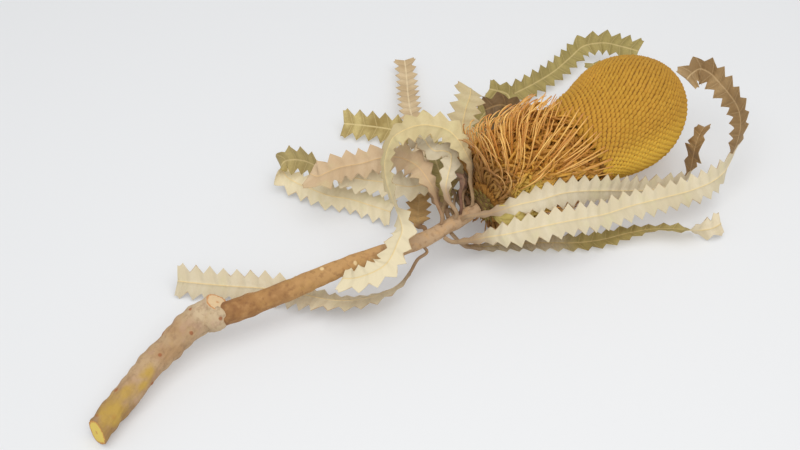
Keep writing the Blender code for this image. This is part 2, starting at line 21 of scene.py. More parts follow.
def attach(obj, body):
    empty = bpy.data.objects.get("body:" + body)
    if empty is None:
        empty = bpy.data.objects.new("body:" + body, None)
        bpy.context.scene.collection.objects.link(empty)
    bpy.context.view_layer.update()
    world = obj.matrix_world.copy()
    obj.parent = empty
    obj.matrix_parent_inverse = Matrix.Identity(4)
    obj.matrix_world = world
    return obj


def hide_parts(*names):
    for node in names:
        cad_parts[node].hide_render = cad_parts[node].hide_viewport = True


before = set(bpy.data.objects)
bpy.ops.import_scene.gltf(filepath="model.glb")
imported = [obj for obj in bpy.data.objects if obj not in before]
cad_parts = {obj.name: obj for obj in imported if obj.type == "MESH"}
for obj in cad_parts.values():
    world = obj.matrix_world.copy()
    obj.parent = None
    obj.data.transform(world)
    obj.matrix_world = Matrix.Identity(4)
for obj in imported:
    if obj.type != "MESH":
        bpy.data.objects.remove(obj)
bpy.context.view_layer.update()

MM = 0.001
CONTACT = np.array([128.0, -35.6, 0.0])

# %% [markdown]
# ## The table, the light and the camera
#
# The sprig lies on a plain pale table in soft studio light. One wide lamp hangs over the near edge, so the
# table darkens a little into the distance, and a pale room fills the shadows, which keeps them faint. The
# camera looks down at 47 degrees from the stem's side, through a lens a little longer than normal.

# %% Table
def plain_sheet(name, half):
    """A square of four corners at height zero, half a side from the middle each way."""
    mesh = bpy.data.meshes.new(name)
    mesh.from_pydata([(-half, -half, 0), (half, -half, 0), (half, half, 0), (-half, half, 0)], [], [(0, 1, 2, 3)])
    thing = bpy.data.objects.new(name, mesh)
    bpy.context.scene.collection.objects.link(thing)
    return thing


table = plain_sheet("table", 4.0)

# %% Light
def lamp(name, place, aim, size, power, colour):
    """A square area lamp that stands at one point in metres and looks at another."""
    data = bpy.data.lights.new(name, "AREA")
    data.size = size
    data.energy = power
    data.color = colour
    thing = bpy.data.objects.new(name, data)
    back = np.array(place) - np.array(aim)
    back = back / np.linalg.norm(back)
    side = np.cross((0.0, 1.0, 0.001), back)
    side = side / np.linalg.norm(side)
    up = np.cross(back, side)
    matrix = np.eye(4)
    matrix[:3, 0], matrix[:3, 1], matrix[:3, 2], matrix[:3, 3] = side, up, back, place
    thing.matrix_world = Matrix(matrix.tolist())
    bpy.context.scene.collection.objects.link(thing)
    return thing


lamp("softbox", (-0.09, -0.2, 0.8), (0.0, -0.02, 0.0), 1.1, 5.4, (1.0, 0.99, 0.97))
world = bpy.data.worlds.new("pale room")
bpy.context.scene.world = world
world.use_nodes = True
world.node_tree.nodes["Background"].inputs["Color"].default_value = (0.97, 0.98, 1.0, 1.0)
world.node_tree.nodes["Background"].inputs["Strength"].default_value = 0.58
bpy.context.scene.view_settings.view_transform = "Standard"

# %% Camera
EYE = np.array([-382.0, -254.8, 415.4])
RIGHT = np.array([0.766, -0.6428, 0.0])
UPWARD = np.array([0.4701, 0.5602, 0.682])
lens = bpy.data.cameras.new("camera")
lens.lens = 45.0
lens.sensor_width = 36.0
lens.clip_start = 0.01
camera = bpy.data.objects.new("camera", lens)
matrix = np.eye(4)
matrix[:3, 0], matrix[:3, 1], matrix[:3, 2] = RIGHT, UPWARD, np.cross(RIGHT, UPWARD)
matrix[:3, 3] = (EYE + CONTACT) * MM
camera.matrix_world = Matrix(matrix.tolist())
bpy.context.scene.collection.objects.link(camera)
bpy.context.scene.camera = camera
print("camera at", (EYE + CONTACT) * MM)

# %% [markdown]
# ## Shader sums as plain Python
#
# A finish is a small sum: cream here, brown there, more of it where a mark on the mesh is high. Wiring such
# a sum by hand is slow to write and hard to read. Value wraps one output of a node, and its plus, minus
# and times each add the Math node that does them. Finish holds one material, and its add method makes any
# other node.

# %% Value and Finish
class Value:
    """One number that changes over a surface. Arithmetic on it adds Math nodes."""

    def __init__(self, finish, socket):
        self.finish = finish
        self.socket = socket

    def __add__(self, other):
        return self.finish.math("ADD", self, other)

    def __sub__(self, other):
        return self.finish.math("SUBTRACT", self, other)

    def __rsub__(self, other):
        return self.finish.math("SUBTRACT", other, self)

    def __mul__(self, other):
        return self.finish.math("MULTIPLY", self, other)

    def __truediv__(self, other):
        return self.finish.math("DIVIDE", self, other)

    __radd__ = __add__
    __rmul__ = __mul__


class Finish:
    """One material: a Principled shader, whose fixed sockets are set here, and the nodes that feed it."""

    def __init__(self, name, **fixed):
        self.material = bpy.data.materials.new(name)
        self.material.use_nodes = True
        self.tree = self.material.node_tree
        self.shader = self.tree.nodes["Principled BSDF"]
        for socket, value in fixed.items():
            self.shader.inputs[socket.replace("_", " ")].default_value = value

    def add(self, kind, settings, sockets, output=0):
        """A node of any kind, with its settings made first and then its sockets filled or linked."""
        node = self.tree.nodes.new(kind)
        for name, value in settings.items():
            setattr(node, name, value)
        for name, value in sockets.items():
            self.plug(value, node.inputs[name])
        return Value(self, node.outputs[output])

    def plug(self, value, socket):
        if isinstance(value, Value):
            self.tree.links.new(value.socket, socket)
        else:
            socket.default_value = value

    def feed(self, name, value):
        """Links a value or a colour to one of the shader's own sockets."""
        self.plug(value, self.shader.inputs[name])

    def math(self, operation, *values):
        return self.add("ShaderNodeMath", {"operation": operation}, dict(enumerate(values)))

    def mark(self, name):
        """A number stored on the mesh's points under a name."""
        return self.add("ShaderNodeAttribute", {"attribute_name": name}, {}, 2)

    def place(self):
        return self.add("ShaderNodeTexCoord", {}, {}, 3)

    def noise(self, size, detail=2.0, roughness=0.5, stretch=None):
        """Cloudy noise from 0 to 1, with clouds of about a size in millimetres."""
        where = self.place()
        if stretch:
            where = self.add("ShaderNodeMapping", {}, {"Vector": where, "Scale": stretch})
        return self.add("ShaderNodeTexNoise", {}, {"Vector": where, "Scale": 1000.0 / size, "Detail": detail,
                                                   "Roughness": roughness})

    def step(self, value, low, high):
        """A smooth rise from 0 at the low value to 1 at the high one."""
        return self.add("ShaderNodeMapRange", {"interpolation_type": "SMOOTHSTEP"},
                        {"Value": value, "From Min": low, "From Max": high})

    def blend(self, amount, first, second):
        """The first colour where the amount is 0 and the second where it is 1."""
        return self.add("ShaderNodeMix", {"data_type": "RGBA"}, {0: amount, 6: first, 7: second}, 2)

    def bump(self, height, depth, below=None):
        """A normal bent by a height from 0 to 1, whose full depth is in millimetres."""
        sockets = {"Height": height, "Distance": depth * MM, "Strength": 1.0}
        if below is not None:
            sockets["Normal"] = below
        return self.add("ShaderNodeBump", {}, sockets)


def paint(red, green, blue):
    """A colour from the usual 0 to 255 screen numbers to the linear numbers of a shader."""
    screen = np.array([red, green, blue]) / 255.0
    linear = np.where(screen < 0.04045, screen / 12.92, ((screen + 0.055) / 1.055) ** 2.4)
    return (*(float(c) for c in linear), 1.0)


table_top = Finish("pale table", Roughness=0.6)
table_top.feed("Base Color", paint(206, 207, 208))
# The table glows a little, as a light table does, so what lies on it keeps only a faint shadow.
table_top.feed("Emission Color", (0.97, 0.98, 1.0, 1.0))
table_top.feed("Emission Strength", 0.2)
table.data.materials.append(table_top.material)

# %% [markdown]
# ## Surfaces from whole arrays
#
# Every shape here is a grid: rows that follow the piece's length and columns that go round it. Working on
# the whole grid at once keeps the formulas close to how one would say them, and it is quick. A ring of
# columns closes on itself, and a flat strip or a fan of triangles closes each end.

# %% Grids and pieces
def ring_faces(rows, columns, copies=1, stride=None):
    """Quads between neighbouring rows of closed rings, for one grid or for several copies of it."""
    row, column = np.meshgrid(np.arange(rows - 1), np.arange(columns), indexing="ij")
    after = (column + 1) % columns
    quads = np.stack([row * columns + column, row * columns + after, (row + 1) * columns + after,
                      (row + 1) * columns + column], axis=-1).reshape(-1, 4)
    shift = np.arange(copies) * (stride or rows * columns)
    return (quads[None] + shift[:, None, None]).reshape(-1, 4)


def fan_faces(first, columns, pole, copies=1, stride=0):
    """Triangles from one ring of points to its pole, for one grid or for several copies of it."""
    column = np.arange(columns)
    fan = np.stack([first + (column + 1) % columns, first + column, np.full(columns, pole)], axis=-1)
    shift = np.arange(copies) * stride
    return (fan[None] + shift[:, None, None]).reshape(-1, 3)


def make_piece(name, points, face_groups, finish, nodes, marks=None, sharp=None):
    """A finished mesh from points in millimetres, facing outwards, which replaces some solid nodes."""
    points = np.asarray(points, float).reshape(-1, 3)
    faces = [face for group in face_groups for face in group.tolist()]
    first = np.array([face[:3] for face in faces])
    last = np.array([[face[0], face[-2], face[-1]] for face in faces if len(face) == 4])
    corners = points[np.vstack([first, last])] if len(last) else points[first]
    volume = np.einsum("ij,ij->", corners[:, 0], np.cross(corners[:, 1], corners[:, 2])) / 6
    if volume < 0:
        faces = [face[::-1] for face in faces]
    mesh = bpy.data.meshes.new(name)
    mesh.from_pydata(((points + CONTACT) * MM).tolist(), [], faces)
    mesh.shade_smooth()
    if sharp:
        mesh.set_sharp_from_angle(angle=math.radians(sharp))
    for mark, values in (marks or {}).items():
        layer = mesh.attributes.new(mark, "FLOAT", "POINT")
        layer.data.foreach_set("value", np.asarray(values, np.float32).ravel())
    piece = bpy.data.objects.new(name, mesh)
    bpy.context.scene.collection.objects.link(piece)
    mesh.materials.append(finish.material)
    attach(piece, "root")
    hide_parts(*nodes)
    print(name, len(points), "points,", sum(len(face) - 2 for face in faces), "triangles,",
          round(abs(volume) / 1000, 2), "cubic centimetres")
    return piece


# %% Paths
UP = np.array([0.0, 0.0, 1.0])
LOOK = np.array([-0.44, -0.52, 0.73])


def unit(vectors):
    return vectors / np.linalg.norm(vectors, axis=-1, keepdims=True)


def smooth_path(points, count):
    """Points on a cubic curve through the given ones, spaced evenly by the chords between them."""
    given = np.asarray(points, float)
    chords = np.linalg.norm(np.diff(given[:, :3], axis=0), axis=1)
    reach = np.concatenate([[0.0], np.cumsum(chords)])
    slopes = np.gradient(given, reach, axis=0)
    wanted = np.linspace(0.0, reach[-1], count)
    k = np.clip(np.searchsorted(reach, wanted, side="right") - 1, 0, len(reach) - 2)
    span = (reach[k + 1] - reach[k])[:, None]
    t = (wanted - reach[k])[:, None] / span
    return ((2 * t**3 - 3 * t**2 + 1) * given[k] + (t**3 - 2 * t**2 + t) * span * slopes[k]
            + (3 * t**2 - 2 * t**3) * given[k + 1] + (t**3 - t**2) * span * slopes[k + 1])


def measure(path):
    """The length along a path at each of its points."""
    return np.concatenate([[0.0], np.cumsum(np.linalg.norm(np.diff(path[:, :3], axis=0), axis=1))])


def at_lengths(path, lengths):
    reach = measure(path)
    return np.column_stack([np.interp(lengths, reach, column) for column in path.T])


def tangents(path):
    return unit(np.gradient(path[:, :3], measure(path), axis=0))


def ripple(along, angle, waves, seed, longest=30.0, most_turns=6):
    """Smooth unevenness of about -1 to 1 on a tube: a sum of waves that run round and along it.

    A whole number of waves goes round, so that the seam doesn't show.
    """
    draw = np.random.default_rng(seed)
    total = np.zeros(np.broadcast(along, angle).shape)
    for _ in range(waves):
        turns = draw.integers(0, most_turns + 1)
        pitch = draw.uniform(0.15, 1.0) * longest
        total += np.cos(turns * angle + 2 * math.pi * along / pitch + draw.uniform(0, 2 * math.pi))
    return total / math.sqrt(waves)


# %% [markdown]
# ## The branch
#
# The sprig was cut twice: once through the old wood, which lies on the table, and once through a side stub
# just past the place where the younger shoot leaves it, out of a swollen knuckle. The old wood is pinkish
# beige, with corky dots that let it breathe and clouds of yellow lichen. The shoot is smooth, orange-brown,
# paler towards the cone, and scarred where leaves have dropped. A tube round a curved path gives both, with
# its radius changed by waves for the wrinkles and by soft bumps for the dots and scars.

# %% Branch shapes
SHOOT = [(-258, 42, 17, 6.0), (-248, 39, 17, 6.0), (-236, 35.5, 17.5, 5.6), (-218, 30.5, 18.5, 5.3),
         (-200, 26.3, 20, 4.9), (-186, 23, 20.6, 4.6), (-171, 19, 21, 4.4), (-158, 14.5, 21.6, 4.3),
         (-145.5, 10.5, 22, 4.1), (-125.5, 7.5, 24, 3.9), (-108.4, 6, 25.9, 3.6)]
OLD_WOOD = [(-331, 27, 6.5, 6.0), (-320, 31, 7.5, 6.3), (-308, 35.5, 9, 6.4), (-295, 39.8, 11, 6.5),
            (-282, 43, 12.8, 6.8), (-270, 45, 14.8, 7.4), (-261, 45.4, 17, 7.9), (-254.5, 44.6, 20, 6.6),
            (-251, 43.5, 23.4, 5.7)]
SHOOT_END = np.array([0.99, -0.09, 0.11])
# The knuckle's middle and its three half lengths, and the middle of the leaf scar on it.
KNUCKLE = (-255.5, 41.2, 17.2, 7.6, 7.6, 7.4)
KNUCKLE_DOT = (-254.6, 35.2, 21.4)
NODE_SWELLS = [(-237, 0.5), (-207, 0.45), (-181, 0.4), (-156, 0.35)]
# Spots on the wood: x along it, degrees round it, half length, half width and height in millimetres.
OLD_DOTS = [(-322.7, 136, 1.5, 1.2, 0.4), (-300, 185, 1.1, 1.0, 0.4), (-288.2, 120, 1.1, 1.0, 0.2),
            (-269.6, 146, 1.2, 1.1, 0.4), (-261.5, 70, 1.2, 0.9, 0.5), (-312, 60, 1.4, 1.2, 0.6),
            (-279, 50, 1.5, 1.1, 0.5), (-327, 75, 1.2, 1.2, 0.6)]
SHOOT_SCARS = [(-231, 122, 1.2, 1.6, 0.25), (-198.2, 84, 1.3, 1.6, 0.3), (-181.7, 132, 1.1, 1.7, 0.3)]
LICHEN = [(-322, 120, 9.0, 7.0), (-311, 118, 5.0, 3.5), (-298, 128, 4.0, 3.2), (-304, 150, 4.0, 2.0)]


def near_spots(along, angle, radius, spots):
    """How close each point of a tube is to a list of oval spots: 1 in a spot's middle and 0 outside it."""
    best = np.zeros(np.broadcast(along, angle).shape)
    for place, degrees, half_long, half_round in [spot[:4] for spot in spots]:
        turn = (angle - math.radians(degrees) + math.pi) % (2 * math.pi) - math.pi
        far = ((along - place) / half_long) ** 2 + (turn * radius / half_round) ** 2
        best = np.maximum(best, np.exp(-far))
    return best


def stick(route, step, columns, relief, cuts, swells=()):
    """A closed tube on a smooth route of x, y, z and radius, cut off flat by a plane at each end.

    Each cut is the direction that its plane faces. The tube leans over its last millimetres to meet it.

    Returns its points, its faces and three marks for each point: the place along x, the angle round the
    tube, and the share of the way from the middle of an end (0) to the bark (1).
    """
    rough = smooth_path(route, 300)
    count = int(measure(rough)[-1] / step)
    path = smooth_path(route, count)
    forward = tangents(path)
    left = unit(np.cross(UP, forward))
    top = np.cross(forward, left)
    swell = sum(size * np.exp(-((path[:, 0] - place) / 2.5) ** 2) for place, size in swells)
    angle = np.arange(columns)[None, :] * 2 * math.pi / columns
    along = path[:, :1] + 0 * angle
    radius = (path[:, 3] + swell)[:, None]
    full = radius + relief(measure(path)[:, None], along, angle + 0 * along, radius)
    round_it = np.cos(angle)[..., None] * left[:, None] + np.sin(angle)[..., None] * top[:, None]
    side = path[:, None, :3] + full[..., None] * round_it
    for k, cut in ((0, np.array(cuts[0])), (-1, np.array(cuts[1]))):
        near = np.clip(1 - abs(measure(path) - measure(path)[k]) / 8.0, 0, 1)[:, None, None] ** 2
        lean = (path[:, None, :3] - side) @ cut / (forward[k] @ cut)
        side = side + near * lean[..., None] * forward[k]

    # The flat ends: rings that shrink to the middle, dished a little where the knife tore the wood.
    shares = np.array([0.96, 0.9, 0.8, 0.66, 0.5, 0.34, 0.18])
    def end_rings(k, outward):
        rings = path[k, :3] + shares[:, None, None] * (side[k] - path[k, :3])
        return rings + (outward * (0.25 - 0.2 * shares)[:, None, None]) * forward[k]
    rings = np.concatenate([end_rings(0, -1)[::-1], side, end_rings(-1, 1)])
    share = np.concatenate([shares[::-1], np.ones(count), shares])
    points = np.vstack([rings.reshape(-1, 3), path[0, :3] - 0.25 * forward[0], path[-1, :3] + 0.25 * forward[-1]])
    rows = len(rings)
    faces = [ring_faces(rows, columns), fan_faces(0, columns, rows * columns),
             fan_faces((rows - 1) * columns, columns, rows * columns + 1)[:, ::-1]]
    row_place = np.concatenate([np.full(len(shares), path[0, 0]), path[:, 0], np.full(len(shares), path[-1, 0])])
    marks = {
        "place": np.append(np.repeat(row_place, columns), [path[0, 0], path[-1, 0]]),
        "share": np.append(np.repeat(share, columns), [0.0, 0.0]),
        "turn": np.append(np.tile(angle.ravel(), rows), [0.0, 0.0]),
    }
    return points, faces, marks


def old_relief(length, along, angle, radius):
    wrinkles = 0.12 * ripple(length, angle, 26, 3, longest=26.0, most_turns=22)
    lumps = 0.42 * ripple(length, angle, 10, 4, longest=30.0, most_turns=4)
    dots = sum(dot[4] * near_spots(along, angle, radius, [dot]) for dot in OLD_DOTS)
    return wrinkles + lumps + dots


def shoot_relief(length, along, angle, radius):
    wrinkles = 0.05 * ripple(length, angle, 22, 5, longest=40.0, most_turns=18)
    lumps = 0.16 * ripple(length, angle, 10, 6, longest=35.0, most_turns=3)
    scars = sum(scar[4] * near_spots(along, angle, radius, [scar]) for scar in SHOOT_SCARS)
    return wrinkles + lumps + scars


def spot_mark(marks, spots):
    return near_spots(marks["place"], marks["turn"], 5.5, spots) * (marks["share"] > 0.99)


# %% Branch finish
def knuckle():
    """The swollen knot where the shoot leaves the old wood, as a lumpy ball with two poles."""
    columns, rows = 72, 40
    tilt = (np.arange(rows)[:, None] + 0.5) * math.pi / rows
    angle = np.arange(columns)[None] * 2 * math.pi / columns
    way = np.stack([np.cos(tilt) + 0 * angle, np.sin(tilt) * np.cos(angle), np.sin(tilt) * np.sin(angle)], axis=-1)
    lumps = 1 + 0.035 * ripple(8 * tilt, angle, 12, 13, longest=16.0, most_turns=4)
    ball = np.array(KNUCKLE[:3]) + lumps[..., None] * way * np.array(KNUCKLE[3:])
    poles = np.array(KNUCKLE[:3]) + np.array([[1.0, 0, 0], [-1.0, 0, 0]]) * KNUCKLE[3]
    points = np.vstack([ball.reshape(-1, 3), poles])
    faces = [ring_faces(rows, columns), fan_faces(0, columns, rows * columns),
             fan_faces((rows - 1) * columns, columns, rows * columns + 1)[:, ::-1]]
    dot = np.exp(-(((points - np.array(KNUCKLE_DOT)) / 1.3) ** 2).sum(axis=1))
    marks = {"place": points[:, 0], "share": np.ones(len(points)), "dots": dot, "lichen": 0 * dot}
    return points, faces, marks


def bark_finish(name, dark, middle, pale, blush, spot, wood, ring, far_bark=None):
    """Smooth bark in soft clouds of three tones with spots, and cut ends of pale wood inside a darker ring."""
    finish = Finish(name, Roughness=0.72)
    streaks = finish.noise(2.6, 4.0, 0.55)
    clouds = finish.noise(12.0, 3.0)
    bark = finish.blend(finish.step(clouds, 0.35, 0.62), paint(*middle), paint(*pale))
    place = finish.mark("place")
    if far_bark:
        bark = finish.blend(finish.step(place, -240.0, -195.0) * 0.85, bark, paint(*far_bark[0]))
        bark = finish.blend(finish.step(place, -178.0, -145.0) * 0.9, bark, paint(*far_bark[1]))
        bark = finish.blend(finish.step(place, -243.0, -251.0) * 0.6, bark, paint(*dark))
    else:
        bark = finish.blend(finish.step(place, -272.0, -258.0) * 0.5, bark, paint(216, 198, 164))
        bark = finish.blend(finish.step(place, -306.0, -322.0) * 0.75, bark, paint(152, 114, 58))
    bark = finish.blend(finish.step(streaks, 0.52, 0.32) * 0.42, bark, paint(*dark))
    bark = finish.blend(finish.step(finish.noise(4.5, 3.0), 0.5, 0.68) * 0.32, bark, paint(*blush))
    bark = finish.blend(finish.step(finish.mark("dots"), 0.3, 0.75) * 0.85, bark, paint(*spot))
    lichen = finish.step(finish.mark("lichen") + (finish.noise(5.0, 4.0) - 0.5) * 1.5, 0.05, 1.1)
    bark = finish.blend(lichen * 0.9, bark, paint(190, 154, 66))
    share = finish.mark("share")
    grain = finish.noise(1.8, 3.0, 0.6)
    cut = finish.blend(grain * 0.5, paint(*wood), paint(*pale))
    cut = finish.blend(finish.step(place, -300.0, -320.0), cut, paint(238, 208, 98))
    cut = finish.blend(finish.step(share + (grain - 0.5) * 0.4, 0.76, 0.95) * 0.85, cut, paint(*ring))
    cut = finish.blend(finish.step(share, 0.2, 0.06) * 0.6, cut, paint(*ring))
    on_side = finish.step(share, 0.97, 0.995)
    finish.feed("Base Color", finish.blend(on_side, cut, bark))
    finish.feed("Normal", finish.bump(finish.noise(1.2, 4.0, 0.6), 0.3))
    return finish


old_finish = bark_finish("old bark", (140, 106, 76), (176, 140, 99), (190, 159, 120), (186, 148, 126), (158, 92, 50),
                         (236, 206, 160), (200, 128, 66))
shoot_finish = bark_finish("shoot bark", (124, 80, 42), (154, 107, 58), (174, 127, 72), (206, 158, 100), (236, 208, 156),
                           (221, 189, 146), (190, 140, 90), far_bark=((194, 150, 94), (188, 157, 122)))
points, faces, marks = stick(OLD_WOOD, 0.5, 90, old_relief, ((-0.96, -0.14, 0.25), (0.52, -0.16, 0.84)))
marks["dots"], marks["lichen"] = spot_mark(marks, OLD_DOTS), spot_mark(marks, LICHEN)
make_piece("old_wood", points, faces, old_finish, ["branch"], marks)
points, faces, marks = stick(SHOOT, 0.5, 72, shoot_relief, (-SHOOT_END, SHOOT_END), NODE_SWELLS)
marks["dots"], marks["lichen"] = spot_mark(marks, SHOOT_SCARS[1:]), 0 * marks["share"]
make_piece("shoot", points, faces, shoot_finish, ["branch"], marks)
points, faces, marks = knuckle()
make_piece("knuckle", points, faces, old_finish, ["branch"], marks)

# %% [markdown]
# ## The closed buds
#
# A banksia sets its flowers in a golden-angle spiral, and each bud gets the same share of the skin: 6.8
# square millimetres here, which makes some 2,500 buds. So bud k sits where the skin counted from the open
# end reaches k shares, and it turns by the golden angle from the one before. The winding grooves that the
# eye sees come out by themselves: they join buds whose numbers differ by 55 or by 89. Each bud is a small
# felted club that leans to the tip, rooted in a brown core that shows only as short dashes between them.

# %% The cone's frame
CONE_AXIS = [(-108, 6, 26), (-80, 4, 28), (-54, 2.5, 30.2), (-25, 1.5, 32.4), (0, 1.5, 33.5), (22, 3.5, 34.8),
             (43, 7.5, 36)]
BRACTS_LENGTH = 5.0
OPEN_END = 75.0
CORE_RADII = [(0.0, 8.0), (6.0, 12.0), (20.0, 15.5), (40.0, 17.5), (60.0, 19.0), (75.0, 20.5)]
BUD_RADII = [(75.0, 26.0), (84.0, 28.6), (92.0, 30.9), (101.0, 33.0), (109.0, 34.0), (117.0, 33.7),
             (125.0, 32.0), (133.0, 28.5), (140.0, 23.4), (146.0, 17.2), (150.0, 10.8), (152.0, 4.5)]
GOLDEN_ANGLE = math.pi * (3 - math.sqrt(5))
CONE_PATH = smooth_path(CONE_AXIS, 200)
CONE_LENGTHS = measure(CONE_PATH)
CONE_LEFT = unit(np.cross(UP, tangents(CONE_PATH)))
CONE_TOP = np.cross(tangents(CONE_PATH), CONE_LEFT)


def read_along(table, along):
    return np.stack([np.interp(along, CONE_LENGTHS, column) for column in table.T], axis=-1)


def on_cone(along, radius, angle):
    """Points at a length along the cone's axis, a radius from it and an angle round it from its left."""
    along, radius, angle = np.broadcast_arrays(along, radius, angle)
    beyond = np.maximum(along - CONE_LENGTHS[-1], 0.0)[..., None] * tangents(CONE_PATH)[-1]
    return (read_along(CONE_PATH[:, :3], along) + beyond
            + (radius * np.cos(angle))[..., None] * read_along(CONE_LEFT, along)
            + (radius * np.sin(angle))[..., None] * read_along(CONE_TOP, along))


def profile(table, along):
    """A radius read from a smooth curve through a table of lengths and radii."""
    curve = smooth_path([(a, r, 0.0) for a, r in table], 300)
    return np.interp(along, curve[:, 0], curve[:, 1])


# %% Closed buds
BUD_AREA = 6.8
BUD_ROWS = 5
BUD_COLUMNS = 6
FAR_SIDE = math.radians(35)
SKIN_RADII = [(59.0, 23.4), (67.0, 24.8)] + BUD_RADII


def open_end(angle):
    """Where the closed buds begin: nearer the stem on the far side of the cone than on the near one."""
    return OPEN_END - 9.5 - 5.5 * np.cos(angle - FAR_SIDE)


def shoulder(along, angle):
    """How much the closed buds stand out on the far side, just before the tubes of the open end begin."""
    rise = np.clip((88 - along) / 12, 0, 1) + np.clip((74 - along) / 12, 0, 1)
    return 1.15 * (1 + np.cos(angle - FAR_SIDE)) * rise


def closed_buds():
    """All the buds as one mesh.

    A bud follows a short line from its root, under the skin, to its end, on the skin. Its half width swells
    to a club and closes, and its sides are squared off so that neighbours meet in narrow grooves.
    """
    draw = np.random.default_rng(11)
    fine = np.linspace(SKIN_RADII[0][0], SKIN_RADII[-1][0] + 0.3, 2000)
    radius = profile(SKIN_RADII, fine)
    slant = np.hypot(np.gradient(fine), np.gradient(radius))
    area = np.concatenate([[0.0], np.cumsum(2 * math.pi * radius[1:] * slant[1:])])
    k = np.arange(int(area[-1] / BUD_AREA))
    along = np.interp((k + 0.5) * BUD_AREA, area, fine)
    angle = k * GOLDEN_ANGLE + draw.uniform(-0.008, 0.008, len(k))
    closed = along > open_end(angle)
    along, angle = along[closed], angle[closed]
    count = len(along)
    reach = np.interp(along, fine, radius) - 0.2 - 1.1 * np.clip((along - 118) / 30, 0, 1)
    reach = reach + shoulder(along, angle)

    # The skin's own directions at each bud: outwards, towards the tip, and round the cone.
    step = 0.05
    spot = on_cone(along, reach, angle)
    ahead_reach = reach + np.interp(along + step, fine, radius) - np.interp(along, fine, radius)
    to_tip = unit(on_cone(along + step, ahead_reach, angle) - spot)
    round_it = unit(on_cone(along, reach, angle + 0.002) - spot)
    outward = unit(np.cross(round_it, to_tip))
    outward *= np.sign(np.einsum("ij,ij->i", outward, spot - on_cone(along, 0 * reach, angle)))[:, None]

    # On the far side the buds are long and narrow, with grooves between them that wind steeply. On the
    # near side they are short and wide, and the flatter family of grooves shows instead.
    far = 0.5 + 0.5 * np.cos(angle - FAR_SIDE - 0.3)
    far = far * far * (3 - 2 * far)
    size = draw.uniform(0.95, 1.05, count)
    bud_length = (3.5 + 1.1 * far) * size
    bud_width = (1.45 - 0.25 * far) * size
    lean = draw.normal(-0.36, 0.05, count)
    lift = draw.normal(0.0, 0.09, count)
    t = np.linspace(0.0, 1.0, BUD_ROWS)
    forward = (t - 0.6)[None, :] * bud_length[:, None]
    sideways = lean[:, None] * forward
    width = bud_width[:, None] * np.array([0.7, 0.96, 1.0, 0.92, 0.5])[None, :]
    top = np.array([-1.5, -0.55, -0.05, 0.05, -0.5])[None, :] + lift[:, None]
    height = np.array([0.5, 0.85, 1.0, 0.9, 0.5])[None, :] * 0.95
    column = (np.arange(BUD_COLUMNS) + 0.5) * 2 * math.pi / BUD_COLUMNS
    wide, high = np.cos(column), np.sin(column)
    middle = (spot[:, None] + forward[..., None] * to_tip[:, None] + sideways[..., None] * round_it[:, None]
              + (top - height)[..., None] * outward[:, None])
    rings = (middle[:, :, None] + (width[..., None] * wide)[..., None] * round_it[:, None, None]
             + (height[..., None] * high)[..., None] * outward[:, None, None])
    ends = (spot + (0.47 * bud_length)[:, None] * (to_tip + lean[:, None] * round_it)
            + (lift - 1.0)[:, None] * outward)
    roots = middle[:, 0] - 0.4 * outward
    each = BUD_ROWS * BUD_COLUMNS + 2
    points = np.concatenate([rings.reshape(count, -1, 3), roots[:, None], ends[:, None]], axis=1)
    points[..., 2] = np.maximum(points[..., 2], 0.03)
    faces = [ring_faces(BUD_ROWS, BUD_COLUMNS, count, each),
             fan_faces(0, BUD_COLUMNS, BUD_ROWS * BUD_COLUMNS, count, each),
             fan_faces((BUD_ROWS - 1) * BUD_COLUMNS, BUD_COLUMNS, BUD_ROWS * BUD_COLUMNS + 1, count, each)[:, ::-1]]
    length_mark = np.concatenate([np.repeat(t, BUD_COLUMNS), [0.0, 1.0]])
    high_mark = np.concatenate([np.tile(high, BUD_ROWS), [0.0, 0.6]])
    marks = {"length": np.tile(length_mark, count), "high": np.tile(high_mark, count),
             "tint": np.repeat(draw.uniform(0, 1, count), each), "far": np.repeat(far, each),
             "along": np.repeat(along, each)}
    return points, faces, marks


def bud_core():
    """The closed core that carries the buds: the cone's profile a little further in."""
    columns = 120
    lengths = np.concatenate([np.linspace(68.0, 146.0, 95), np.linspace(147.0, 151.0, 6)])
    shrink = 1.15 + 1.1 * np.clip((lengths - 118) / 30, 0, 1)
    reach = np.maximum(profile(SKIN_RADII, lengths) - shrink, 1.2)
    angle = np.arange(columns)[None] * 2 * math.pi / columns
    rings = on_cone(lengths[:, None], reach[:, None] + shoulder(lengths[:, None], angle), angle)
    points = np.vstack([rings.reshape(-1, 3), on_cone(lengths[:1], np.zeros(1), np.zeros(1)),
                        on_cone(lengths[-1:] + 0.2, np.zeros(1), np.zeros(1))])
    points[:, 2] = np.maximum(points[:, 2], 0.1)
    rows = len(lengths)
    faces = [ring_faces(rows, columns), fan_faces(0, columns, rows * columns),
             fan_faces((rows - 1) * columns, columns, rows * columns + 1)[:, ::-1]]
    return points, faces


bud_finish = Finish("closed buds", Roughness=0.85)
length = bud_finish.mark("length")
high = bud_finish.mark("high")
golden = bud_finish.blend(bud_finish.mark("tint"), paint(188, 139, 38), paint(200, 152, 48))
golden = bud_finish.blend(bud_finish.step(bud_finish.noise(26.0, 2.0), 0.35, 0.65) * 0.6, golden, paint(204, 150, 50))
# Painted light: the buds on the near side of the cone, which faces the lamp, are painted paler.
golden = bud_finish.blend(bud_finish.step(bud_finish.mark("far"), 0.4, 0.05) * 0.8, golden, paint(236, 190, 66))
# Painted shade: the buds are painted darker towards the tip.
golden = bud_finish.blend(bud_finish.step(bud_finish.mark("along"), 95.0, 150.0) * 0.45, golden, paint(172, 120, 34))
golden = bud_finish.blend(bud_finish.step(length, 0.8, 1.0) * 0.35, golden, paint(180, 112, 40))
# Painted shade: each bud is painted darker on the flank that faces down into the grooves between the buds.
golden = bud_finish.blend(bud_finish.step(high, 0.1, -0.5) * 0.75, golden, paint(136, 92, 24))
bud_finish.feed("Base Color", golden)
bud_finish.feed("Normal", bud_finish.bump(bud_finish.noise(0.6, 3.0, 0.6), 0.2))
core_finish = Finish("bud core", Roughness=0.9)
